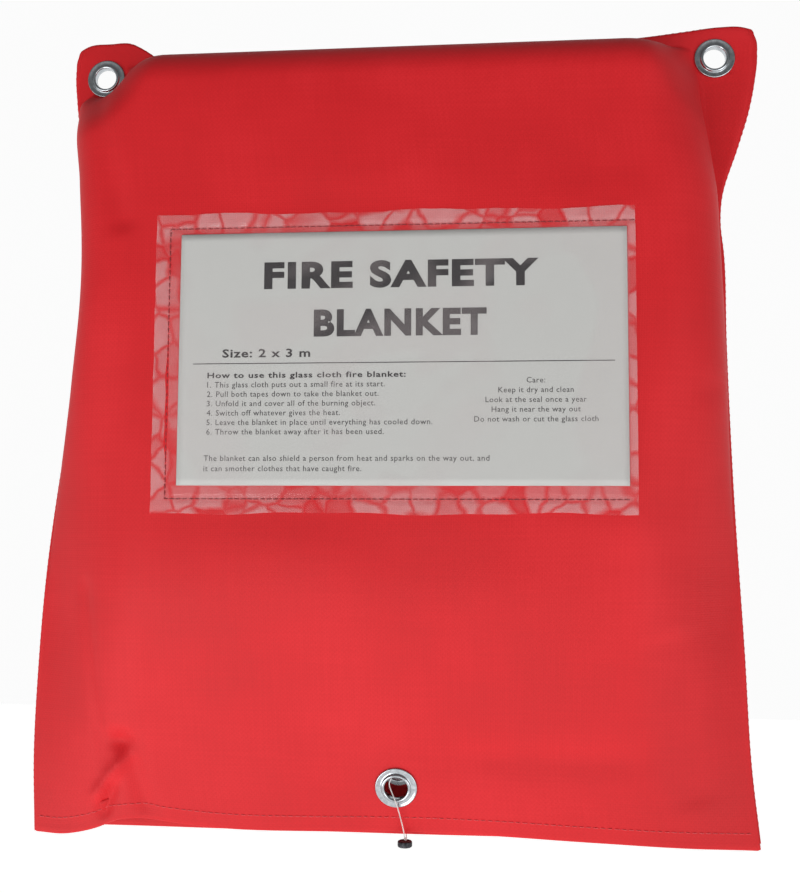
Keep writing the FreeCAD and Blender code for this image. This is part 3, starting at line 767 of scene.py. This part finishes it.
def back_cloth():
    """The back layer, flat on the wall, with its hem turned forwards."""
    x, z = curved_rows(back_columns)
    x, depth, z = turned_hem(x, back_depth(x, z), z, -1, BACK_TURN)
    piece = cloth_grid("back_cloth", x[:, ::-1], depth[:, ::-1], z[:, ::-1])
    punch_holes(piece, BACK_EYELET)
    thicken(piece, SHOWN_CLOTH)
    finish_with(piece, FABRIC)
    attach(piece, "case")
    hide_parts("back_panel")
    return piece


BACK_CLOTH = back_cloth()


# Stitching

def stitch_row(name, places, normals, pitch, thickness, material):
    """Separate stitches along a path: each comes out of the cloth, lies on it and goes back in."""
    places = np.array(places, float)
    lengths = np.concatenate([[0], np.cumsum(np.linalg.norm(np.diff(places, axis=0), axis=1))])
    normals = np.array(normals, float)

    def on_path(length):
        point = np.array([np.interp(length, lengths, places[:, i]) for i in range(3)])
        normal = np.array([np.interp(length, lengths, normals[:, i]) for i in range(3)])
        return point, normal / np.linalg.norm(normal)

    points, faces = [], []
    rings, sides = 7, 6
    for number in range(int(lengths[-1] / pitch)):
        start = (number + 0.08 + random.uniform(-0.03, 0.03)) * pitch
        long = pitch * random.uniform(0.78, 0.86)
        first = len(points)
        lean = random.uniform(-0.10, 0.10)
        for ring in range(rings):
            share = ring / (rings - 1)
            point, normal = on_path(start + long * share)
            ahead, _ = on_path(start + long * share + 0.05)
            along = ahead - point
            along = along / max(np.linalg.norm(along), 1e-9)
            side = np.cross(along, normal)
            lift = thickness * (0.75 * math.sin(math.pi * share) ** 0.6 - 0.35)
            centre = point + normal * lift + side * lean * (share - 0.5) * 2
            girth = thickness / 2 * (0.75 + 0.25 * math.sin(math.pi * share))
            for k in range(sides):
                angle = 2 * math.pi * k / sides
                points.append((centre + girth * (math.cos(angle) * side + math.sin(angle) * normal)) * MM)
        for ring in range(rings - 1):
            for k in range(sides):
                a = first + ring * sides + k
                b = first + ring * sides + (k + 1) % sides
                faces.append((a, b, b + sides, a + sides))
        last = first + (rings - 1) * sides
        faces.append(tuple(range(first + sides - 1, first - 1, -1)))
        faces.append(tuple(range(last, last + sides)))
    piece = mesh_object(name, points, faces)
    finish_with(piece, material)
    return piece


def on_front(x, z, above):
    """A place and its outward direction on the front cloth."""
    step = 0.8
    depth = float(front_depth(x, z))
    slope_x = (float(front_depth(x + step, z)) - float(front_depth(x - step, z))) / (2 * step)
    slope_z = (float(front_depth(x, z + step)) - float(front_depth(x, z - step))) / (2 * step)
    normal = np.array([-slope_x, -1.0, -slope_z])
    normal = normal / np.linalg.norm(normal)
    return np.array([x, -depth, z]) + normal * above, normal


def front_hem_stitches():
    places, normals = [], []
    level = HEM + SEAM_RISE
    for x in np.arange(LEFT_OUTLINE(level) + 3, RIGHT_OUTLINE(level) - 3, 1.5):
        z = level + float(HEM_PULL(x)) * 0.95
        place, normal = on_front(x, z, 0.05)
        places.append(place)
        normals.append(normal)
    piece = stitch_row("front_hem_stitches", places, normals, 3.3, 0.42, SEAM_THREAD)
    bend_at_mouth(piece)
    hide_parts("front_hem_stitching")
    return piece


def back_hem_stitches():
    level = HEM + SEAM_RISE
    xs = np.arange(LEFT_OUTLINE(level) + 4, RIGHT_OUTLINE(level) - 4, 2.0)
    places = [(x, -BACK_REAR - 0.1 + 0.25, level) for x in xs]
    piece = stitch_row("back_hem_stitches", places, [(0, 1, 0)] * len(xs), 3.3, 0.5,
                       SEAM_THREAD)
    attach(piece, "case")
    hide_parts("back_hem_stitching")
    return piece


def seam_stitches(side):
    """Stitches of a turned side seam, half hidden in the groove between the two layers."""
    outline = LEFT_OUTLINE if side < 0 else RIGHT_OUTLINE
    levels = np.arange(EYELET_HIGH[2] - 4, HEM + 5, -2.0)
    places = [(float(outline(z)) - side * 0.25, -BACK_REAR - 0.75, z) for z in levels]
    name = "left" if side < 0 else "right"
    piece = stitch_row(name + "_seam_stitches", places, [(side, 0, 0)] * len(levels), 3.4, 0.5,
                       SEAM_THREAD)
    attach(piece, "case")
    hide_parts(name + "_seam_stitching")
    return piece


def top_seam_stitches():
    xs = np.arange(-EYELET_X, EYELET_X, 2.0)
    places = [(x, -BACK_REAR - 0.75, float(TOP_EDGE(x)) - 0.3) for x in xs]
    piece = stitch_row("top_seam_stitches", places, [(0, 0, 1)] * len(xs), 3.4, 0.5,
                       SEAM_THREAD)
    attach(piece, "case")
    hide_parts("top_seam_stitching")
    return piece


SEAMS = [seam_stitches(-1), seam_stitches(1), top_seam_stitches()]
front_hem_stitches()
[back_hem_stitches()] + SEAMS


# Document pocket

def film_edges(x, z):
    """Distances in from the film's sewn edges and from its open right one."""
    sewn = np.minimum(np.minimum(x - FILM_LOW[0], FILM_HIGH[2] - z), z - FILM_LOW[2])
    return sewn, FILM_HIGH[0] - x


def film_lift(x, z):
    """How far the film stands off the cloth: down on its seam, over the card, and loose at its edges."""
    sewn, mouth = film_edges(x, z)
    loose = 0.35 + 0.45 * np.sin(x / 6.1 + z / 9.7) ** 2 + 0.35 * np.sin(x / 3.7 - z / 5.1) ** 2
    within = 0.95 + 0.22 * np.sin(x / 13 + 0.8) * np.sin(z / 9 + x / 31)
    inside = sewn > POCKET_SEAM_INSET
    lift = np.where(inside, within + 0.5 * smooth((8 - mouth) / 8), loose)
    return 0.12 + lift * smooth(np.abs(sewn - POCKET_SEAM_INSET) / 2.4)


def pocket_cover():
    """Soft film over the card, sewn on three sides, with loose rippled edges."""
    x, z = np.meshgrid(np.linspace(FILM_LOW[0], FILM_HIGH[0], 230),
                       np.linspace(FILM_HIGH[2], FILM_LOW[2], 150))
    sewn, mouth = film_edges(x, z)
    ragged = 0.5 * np.sin(x / 17 + 0.4) + 0.3 * np.sin(x / 7)
    top_share = smooth((z - FILM_HIGH[2] + 8) / 8)
    low_share = smooth((FILM_LOW[2] + 8 - z) / 8)
    piece = cloth_grid("pocket_cover", x, PAN_DEPTH + film_lift(x, z), z + ragged * (top_share - low_share))
    loose = piece.data.attributes.new("loose", "FLOAT", "POINT")
    share = np.maximum(smooth((POCKET_SEAM_INSET - sewn) / 0.8 + 0.5), smooth((4 - mouth) / 1.5))
    over_card = (x > CARD_LOW[0]) & (x < CARD_HIGH[0]) & (z > CARD_LOW[2]) & (z < CARD_HIGH[2])
    share = np.maximum(share, np.where(over_card, 0, 0.5))
    loose.data.foreach_set("value", share.ravel())
    finish_with(piece, FILM)
    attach(piece, "case")
    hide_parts("pocket_film")
    return piece


def pocket_stitches():
    left = FILM_LOW[0] + POCKET_SEAM_INSET
    top = FILM_HIGH[2] - POCKET_SEAM_INSET
    low = FILM_LOW[2] + POCKET_SEAM_INSET
    corners = [(FILM_HIGH[0], top), (left, top), (left, low), (FILM_HIGH[0], low)]
    places = []
    for (ax, az), (bx, bz) in zip(corners, corners[1:]):
        count = int(math.hypot(bx - ax, bz - az) / 2)
        for step in range(count):
            share = step / count
            places.append((ax + (bx - ax) * share, -PAN_DEPTH - 0.2, az + (bz - az) * share))
    piece = stitch_row("pocket_stitches", places, [(0, -1, 0)] * len(places), 3.1, 0.45, POCKET_THREAD)
    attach(piece, "case")
    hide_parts("pocket_stitching")
    return piece


POCKET = pocket_cover()
pocket_stitches()


# Card and its print

CARD_FACE = PAN_DEPTH + 0.62
CAPITAL = 0.73              # height of the print's capitals, as a share of its size


def card_depth(x, z):
    return CARD_FACE + 0.12 * np.sin(x / 38 + 0.5) * np.cos(z / 41)


def paper_card():
    x, z = np.meshgrid(np.linspace(CARD_LOW[0], CARD_HIGH[0], 60), np.linspace(CARD_HIGH[2], CARD_LOW[2], 36))
    piece = cloth_grid("paper_card", x, card_depth(x, z), z)
    thicken(piece, 0.15)
    finish_with(piece, PAPER)
    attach(piece, "card")
    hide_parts("instruction_card")
    return piece


def print_line(name, text, start, base, height, width=None, bold=0.0, centred=False):
    """A line of print as a flat mesh that follows the card. Its capitals have the height, and its letters
    are spread to the width if one is given."""
    words = bpy.data.curves.new(name, "FONT")
    words.body = text
    words.offset = bold
    words.space_character = 1.08 + bold
    words.resolution_u = 5 if height > 4 else 2
    line = bpy.data.objects.new(name, words)
    bpy.context.scene.collection.objects.link(line)
    bpy.context.view_layer.update()
    mesh = bpy.data.meshes.new_from_object(line.evaluated_get(bpy.context.evaluated_depsgraph_get()))
    bpy.data.objects.remove(line)
    corners = np.array([vertex.co for vertex in mesh.vertices])
    scale_z = height / CAPITAL
    long = corners[:, 0].max() - corners[:, 0].min()
    scale_x = width / long if width else scale_z
    x = start + (corners[:, 0] - corners[:, 0].min()) * scale_x - (long * scale_x / 2 if centred else 0)
    z = base + corners[:, 1] * scale_z
    for vertex, across, level in zip(mesh.vertices, x, z):
        vertex.co = at(across, float(card_depth(across, level)) + 0.06, level)
    return finish_print(name, mesh)


def finish_print(name, mesh):
    piece = bpy.data.objects.new(name, mesh)
    bpy.context.scene.collection.objects.link(piece)
    finish_with(piece, INK)
    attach(piece, "card")
    return piece


def rule_line():
    left, right = CARD_LOW[0] + 7, CARD_HIGH[0] - 6
    z = CARD_HIGH[2] - 62.5
    xs = np.linspace(left, right, 40)
    points = [at(x, float(card_depth(x, z)) + 0.06, z + dz) for dz in (0.2, -0.2) for x in xs]
    piece = mesh_object("card_rule", points, grid_faces(2, len(xs)))
    finish_with(piece, INK)
    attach(piece, "card")
    return piece


INSTRUCTIONS = (
    "1. This glass cloth puts out a small fire at its start.",
    "2. Pull both tapes down to take the blanket out.",
    "3. Unfold it and cover all of the burning object.",
    "4. Switch off whatever gives the heat.",
    "5. Leave the blanket in place until everything has cooled down.",
    "6. Throw the blanket away after it has been used.",
)
CARE = ("Care:", "Keep it dry and clean", "Look at the seal once a year", "Hang it near the way out",
        "Do not wash or cut the glass cloth")
CLOSING = ("The blanket can also shield a person from heat and sparks on the way out, and",
           "it can smother clothes that have caught fire.")


def card_print():
    left, top = CARD_LOW[0], CARD_HIGH[2]
    centre = (CARD_LOW[0] + CARD_HIGH[0]) / 2
    print_line("heading_upper", "FIRE SAFETY", centre, top - 26.3, 12.2, 129, 0.045, True)
    print_line("heading_lower", "BLANKET", centre, top - 49.3, 12.2, 81, 0.045, True)
    print_line("size_line", "Size: 2 x 3 m", left + 21, top - 59.5, 4.0, 42, 0.022)
    rule_line()
    print_line("instructions_title", "How to use this glass cloth fire blanket:",
               left + 14, top - 69.3, 2.7, 94, 0.022)
    for number, text in enumerate(INSTRUCTIONS):
        print_line("instruction_%d" % number, text, left + 14, top - 73.8 - 4.45 * number, 2.8)
    for number, text in enumerate(CARE):
        print_line("care_%d" % number, text, left + 168, top - 72.5 - 4.5 * number, 2.7, centred=True)
    for number, text in enumerate(CLOSING):
        print_line("closing_%d" % number, text, left + 13, top - 108.5 - 4.8 * number, 2.8)


paper_card()
card_print()


# Eyelets

def revolved(name, profile, centre, outwards, sides=72):
    """A ring turned about an axis. The profile is points of (radius, height) in millimetres."""
    turn = Vector((0, 0, 1)).rotation_difference(outwards).to_matrix()
    points, faces = [], []
    count = len(profile)
    for k in range(sides):
        angle = 2 * math.pi * k / sides
        for radius, height in profile:
            local = Vector((radius * math.cos(angle), radius * math.sin(angle), height)) * MM
            points.append(centre + turn @ local)
    for k in range(sides):
        for i in range(count):
            j = (i + 1) % count
            following = ((k + 1) % sides) * count
            faces.append((k * count + i, k * count + j, following + j, following + i))
    return mesh_object(name, points, faces)


def arc_points(centre, radius, start, end, count):
    """Points of a profile along an arc, with angles in degrees."""
    return [(centre[0] + radius * math.cos(math.radians(a)), centre[1] + radius * math.sin(math.radians(a)))
            for a in np.linspace(start, end, count)]


def eyelet_profile(cloth):
    """A flange with a rolled outer rim and a hollow, a high lip round the hole, the barrel, and the roll
    behind."""
    back = -cloth - 0.8
    rim = [(10.0, 0.0)] + arc_points((9.55, 0.40), 0.45, -20, 100, 7)
    hollow = [(9.1, 0.72), (8.6, 0.60), (8.0, 0.56), (7.5, 0.62), (7.15, 0.80)]
    lip = arc_points((6.35, 0.80), 0.80, 15, 188, 14)
    barrel = [(5.52, 0.3), (5.5, back + 0.5)] + arc_points((6.0, back + 0.45), 0.45, 190, 290, 6)
    roll = [(6.9, back + 0.05), (7.2, back + 0.28), (6.4, back + 0.4), (6.0, back + 0.7)]
    return rim + hollow + lip + barrel + roll + [(6.0, -0.05), (9.2, -0.05)]


def washer_profile(cloth):
    back = -cloth - 0.8
    return ([(6.05, back + 0.34), (7.4, back + 0.3), (8.8, back + 0.22)]
            + arc_points((9.6, back + 0.6), 0.38, -90, 30, 5) + [(9.9, -cloth), (6.05, -cloth)])


def eyelet_set(node, outwards, cloth, body):
    """An eyelet and its washer in the places of their nodes."""
    low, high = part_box(node)
    middle = Vector([(a + b) / 2 for a, b in zip(low, high)])
    height = (1.0 - cloth - 0.8) / 2
    seat = middle - outwards * height * MM
    ring = revolved(node + "_ring", eyelet_profile(cloth), seat, outwards)
    rear = revolved(node + "_washer_ring", washer_profile(cloth), seat, outwards)
    for piece, replaced in ((ring, node), (rear, node + "_washer")):
        finish_with(piece, NICKEL)
        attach(piece, body)
        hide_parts(replaced)
    return seat


FORWARD = Vector((0, -1, 0))
FLAP_SLOPE = (PAN_DEPTH - HEM_DEPTH) / (MOUTH_TOP - HEM)
FLAP_NORMAL = Vector((0, -1, -FLAP_SLOPE)).normalized()
FLAP_DOWN = Vector((0, FLAP_SLOPE, -1)).normalized()
eyelet_set("left_wall_eyelet", FORWARD, 2 * CLOTH, "case")
eyelet_set("right_wall_eyelet", FORWARD, 2 * CLOTH, "case")
eyelet_set("back_hem_eyelet", FORWARD, CLOTH, "case")
FRONT_SEAT = eyelet_set("front_hem_eyelet", FLAP_NORMAL, CLOTH, "mouth")


# Seal thread and seal

def cord_curve(name, points, diameter):
    """A round line whose spline has the points as its control points."""
    curve = bpy.data.curves.new(name, "CURVE")
    curve.dimensions = "3D"
    curve.bevel_depth = diameter / 2
    curve.bevel_resolution = 3
    curve.use_fill_caps = True
    spline = curve.splines.new("NURBS")
    spline.points.add(len(points) - 1)
    for control, point in zip(spline.points, points):
        control.co = (*point, 1)
    spline.order_u = 3
    spline.use_endpoint_u = True
    spline.resolution_u = 8
    made = bpy.data.objects.new(name, curve)
    bpy.context.scene.collection.objects.link(made)
    curve.materials.append(NYLON)
    return made


def on_flap(x, height, drop):
    """A point across, above the flap's front and down from its eyelet, given in metres."""
    return FRONT_SEAT + Vector((x, 0, 0)) + FLAP_NORMAL * height + FLAP_DOWN * drop


# Across, height over the flap's front and drop from the eyelet's centre, in metres
FRONT_THREAD = [
    (-0.0022, -0.0008, -0.0043),
    (-0.0035, -0.0006, -0.0020),
    (-0.0030, -0.0006, 0.0006),
    (-0.0019, 0.0003, 0.0029),
    (-0.0007, 0.0017, 0.0050),
    (0.0006, 0.0026, 0.0082),
    (0.0015, 0.0022, 0.0122),
    (0.0023, 0.0016, 0.0164),
    (0.0033, 0.0015, 0.0208),
    (0.0039, 0.0021, 0.0256),
]

# Across, depth and drop from the back eyelet's centre, in metres
BACK_THREAD = [
    (-0.0034, 0.0023, -0.0024),
    (-0.0022, 0.0024, 0.0004),
    (-0.0006, 0.0022, 0.0026),
    (-0.0003, 0.0002, 0.0033),
    (0.0002, -0.00075, 0.0059),
    (0.0009, -0.0006, 0.0115),
    (0.0019, -0.00055, 0.0180),
    (0.0027, -0.0007, 0.0250),
    (0.0033, -0.0005, 0.0305),
    (0.0037, 0.0003, 0.0336),
    (0.0039, 0.0024, 0.0350),
]
THREAD = 0.0006


def seal_threads():
    front_points = [on_flap(*point) for point in FRONT_THREAD]
    back_points = [Vector((x, -depth, BACK_EYELET * MM - drop)) for x, depth, drop in BACK_THREAD]
    front = cord_curve("seal_line_front", front_points, THREAD)
    back = cord_curve("seal_line_back", back_points, THREAD)
    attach(front, "mouth")
    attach(back, "case")
    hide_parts("seal_thread_front")
    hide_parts("seal_thread_back")
    return front, back, front_points, back_points


def seal_disc():
    """The lead seal: a thick rounded disc with a pressed step."""
    low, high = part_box("lead_seal")
    centre = Vector([(a + b) / 2 for a, b in zip(low, high)])
    profile = ([(0.02, 1.15), (1.9, 1.15), (2.2, 1.42)] + arc_points((2.7, 0.7), 0.8, 80, 0, 6)
               + arc_points((2.7, -0.7), 0.8, 0, -80, 6) + [(2.2, -1.42), (1.9, -1.15), (0.02, -1.15)])
    disc = revolved("seal_disc", profile, centre, Vector((0, 0, 1)), 48)
    finish_with(disc, LEAD)
    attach(disc, "seal")
    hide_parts("lead_seal")
    return disc


def seal_knot():
    """The tight knot of the line where it goes into the top of the seal."""
    low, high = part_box("lead_seal")
    centre = Vector(((low[0] + high[0]) / 2, (low[1] + high[1]) / 2, high[2] + 0.4 * MM))
    profile = arc_points((0.0, 0.55), 0.85, -85, 85, 9)
    piece = revolved("seal_knot", profile, centre, Vector((0.5, -0.6, 0.6)).normalized(), 20)
    finish_with(piece, NYLON)
    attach(piece, "seal")
    return piece


SEAL = seal_disc()
SEAL_KNOT = seal_knot()
LINE_FRONT, LINE_BACK, FRONT_POINTS, BACK_POINTS = seal_threads()


# Folded blanket and its tapes

LEAVES = 9
FOLD_REACH = 3.0            # how far a leaf's rounded fold reaches up from its end

PACK_DEPTH = curve_through([
    (PACK_LOW[2] + 5, 16.0), (-298, 24.4), (-258, 31.0), (-220, 35.4), (-185, 36.8), (-60, 36.9), (-16, 36.9),
    (1, 34.0),
])


def leaf_section(top, low):
    """Levels down a leaf and how full it is at each, with a rounded fold at both ends."""
    ends = FOLD_REACH * rounded_steps(4)
    flat = np.linspace(top - FOLD_REACH, low + FOLD_REACH, 50)[1:-1]
    levels = np.concatenate([top - ends, flat, (low + ends)[::-1]])
    from_end = np.clip(np.minimum(top - levels, levels - low) / FOLD_REACH, 0, 1)
    return levels, np.sqrt(1 - (1 - from_end) ** 2).clip(0.04, 1)


def folded_pack():
    """The glass cloth folded into leaves that lie on each other. It fills the case up to the front cloth."""
    back, half = -PACK_HIGH[1], PACK_HIGH[0]
    points, faces, uvs = [], [], []
    across = spread([(0.02, 4), (0.96, 52), (0.02, 4)]) * 2 - 1
    for leaf in range(LEAVES):
        first = sum(len(part) for part in points)
        levels, full = leaf_section(PACK_HIGH[2] - 1 - random.uniform(0, 3),
                                    PACK_LOW[2] + 2 + random.uniform(0, 3) + 1.5 * (leaf % 2))
        side, z = np.meshgrid(across, levels)
        corner = smooth((np.abs(side) * half - 134) / 15) * smooth((z + 46) / 50)
        x = side * (half - random.uniform(0.8, 2.4) - 12 * corner)
        front = np.minimum(PACK_DEPTH(z), front_depth(x, z) - CLOTH - 1)
        rounding = full[:, None] * (1 - 0.85 * smooth((np.abs(side) - 0.985) / 0.015))
        wave = 0.14 * np.sin(x / 23 + leaf) * np.sin(z / 31 + 2 * leaf)
        shares = [(leaf + 0.5 + 0.45 * face * rounding) / LEAVES for face in (-1, 1)]
        near, far = [np.stack([x, -(back + share * (front - back) + wave), z], axis=2) for share in shares]
        rows, ring = len(levels), 2 * len(across)
        points.append(np.concatenate([near, far[:, ::-1]], axis=1).reshape(-1, 3))
        uvs.append(points[-1][:, [0, 2]] * MM)
        for row in range(rows - 1):
            for k in range(ring):
                a, b = first + row * ring + k, first + row * ring + (k + 1) % ring
                faces.append((a, b, b + ring, a + ring))
        for row in (0, rows - 1):
            for k in range(len(across) - 1):
                a, b = first + row * ring + k, first + (row + 1) * ring - 1 - k
                cap = (a, b, b - 1, a + 1)
                faces.append(cap if row == 0 else cap[::-1])
    piece = mesh_object("folded_cloth", np.concatenate(points) * MM, faces, np.concatenate(uvs))
    finish_with(piece, GLASS_CLOTH)
    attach(piece, "blanket")
    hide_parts("folded_blanket")
    return piece


def pull_tape(side):
    """A loop of webbing that hangs below the pack, with its two ends sewn between the leaves."""
    low, high = node_box(side + "_pull_tape")
    centre = (low[0] + high[0]) / 2
    width = high[0] - low[0]
    near, far = -high[1], -low[1]
    thick = (far - near) / 2
    path = []
    for z in np.linspace(high[2], low[2] + thick, 26):
        sway = 0.3 * math.sin((z - high[2]) / 19)
        path.append((far - thick / 2 - 0.05 + sway * 0.3, z))
    for angle in range(20, 180, 20):
        turn = math.radians(angle)
        depth = (near + far) / 2 + thick / 2 * math.cos(turn)
        path.append((depth, low[2] + thick - thick * 0.8 * math.sin(turn)))
    for z in np.linspace(low[2] + thick, high[2], 26):
        path.append((near + thick / 2 + 0.05, z))
    columns = np.linspace(-width / 2 + 0.3, width / 2 - 0.3, 13)
    x = np.array([[centre + c for c in columns] for _ in path])
    depth = np.array([[d for _ in columns] for d, _ in path])
    z = np.array([[level for _ in columns] for _, level in path])
    piece = cloth_grid(side + "_webbing_loop", x, depth, z)
    thicken(piece, thick * 0.85, 0.0)
    finish_with(piece, WEBBING)
    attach(piece, "blanket")
    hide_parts(side + "_pull_tape")
    return piece


def tape_stitches(side):
    low, high = node_box(side + "_tape_stitching")
    places = []
    for z in (low[2] + 0.3, high[2] - 0.3):
        for x in np.arange(low[0], high[0], 1.0):
            places.append((x, low[1] - 0.1, z))
    piece = stitch_row(side + "_tape_stitches", places, [(0, -1, 0)] * len(places), 3.0, 0.5, TAPE_THREAD)
    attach(piece, "blanket")
    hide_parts(side + "_tape_stitching")
    return piece


folded_pack()
for tape_side in ("left", "right"):
    pull_tape(tape_side)
    tape_stitches(tape_side)


# Stage, camera and light

FLOOR_LEVEL = -1.7
FLOOR_REACH = 9.0


def studio_floor():
    """A pale floor that glows a little, as over a light box, so that soft light comes from below."""
    reach = FLOOR_REACH
    corners = [(-reach, -reach, FLOOR_LEVEL), (reach, -reach, FLOOR_LEVEL), (reach, reach, FLOOR_LEVEL),
               (-reach, reach, FLOOR_LEVEL)]
    floor = mesh_object("studio_floor", corners, [(0, 1, 2, 3)])
    floor.data.materials.append(studio_paper())


def area_light(name, place, target, size, power):
    light = bpy.data.lights.new(name, "AREA")
    light.shape = "RECTANGLE"
    light.size, light.size_y = size
    light.energy = power
    lamp = bpy.data.objects.new(name, light)
    bpy.context.scene.collection.objects.link(lamp)
    lamp.location = place
    lamp.rotation_euler = (Vector(target) - Vector(place)).to_track_quat("-Z", "Y").to_euler()


def studio_world():
    """A dim studio, darkest overhead, with a bright white wall behind the case."""
    world = bpy.data.worlds.new("studio")
    bpy.context.scene.world = world
    world.use_nodes = True
    tree = world.node_tree
    tree.nodes.clear()
    direction = add(tree, "TexCoord").outputs["Generated"]
    sides = add(tree, "SeparateXYZ", links={"Vector": direction})
    room = add(tree, "MapRange", {"From Min": -0.3, "From Max": 0.5, "To Min": 0.52, "To Max": 0.17},
               {"Value": sides.outputs["Z"]})
    wall = add(tree, "MapRange", {"From Min": 0.5, "From Max": 0.75}, {"Value": sides.outputs["Y"]})
    glow = add(tree, "Mix", {"data_type": "FLOAT", "B": 0.97},
               {"Factor": wall.outputs[0], "A": room.outputs[0]})
    light = add(tree, "Background", links={"Strength": glow.outputs[0]})
    light.inputs["Color"].default_value = linear("#FFFFFF")
    add(tree, "OutputWorld", links={"Surface": light.outputs["Background"]})


def studio():
    studio_floor()
    studio_world()
    middle = (0, 0, HEM * MM / 2)
    area_light("low_light", (-0.65, -0.9, -0.75), middle, (0.9, 0.5), 5.4)
    area_light("side_light", (0.95, -1.0, -0.55), middle, (0.8, 0.8), 4.1)


def camera():
    """Stands a little right of and below the case's middle, and looks up and to the left at it."""
    lens = bpy.data.cameras.new("camera")
    lens.sensor_width = 36.0
    lens.lens = 44.3
    lens.clip_start = 0.02
    eye = bpy.data.objects.new("camera", lens)
    bpy.context.scene.collection.objects.link(eye)
    pitch, yaw, roll = (math.radians(angle) for angle in (4.94, 5.34, -0.33))
    level = Matrix.Rotation(math.radians(90), 4, "X")
    turn = Matrix.Rotation(yaw, 4, "Z") @ Matrix.Rotation(pitch, 4, "X") @ Matrix.Rotation(roll, 4, "Y")
    eye.matrix_world = Matrix.Translation((0.0506, -0.547, -0.2422)) @ turn @ level
    bpy.context.scene.camera = eye
    bpy.context.scene.view_settings.view_transform = "Standard"


studio()
camera()
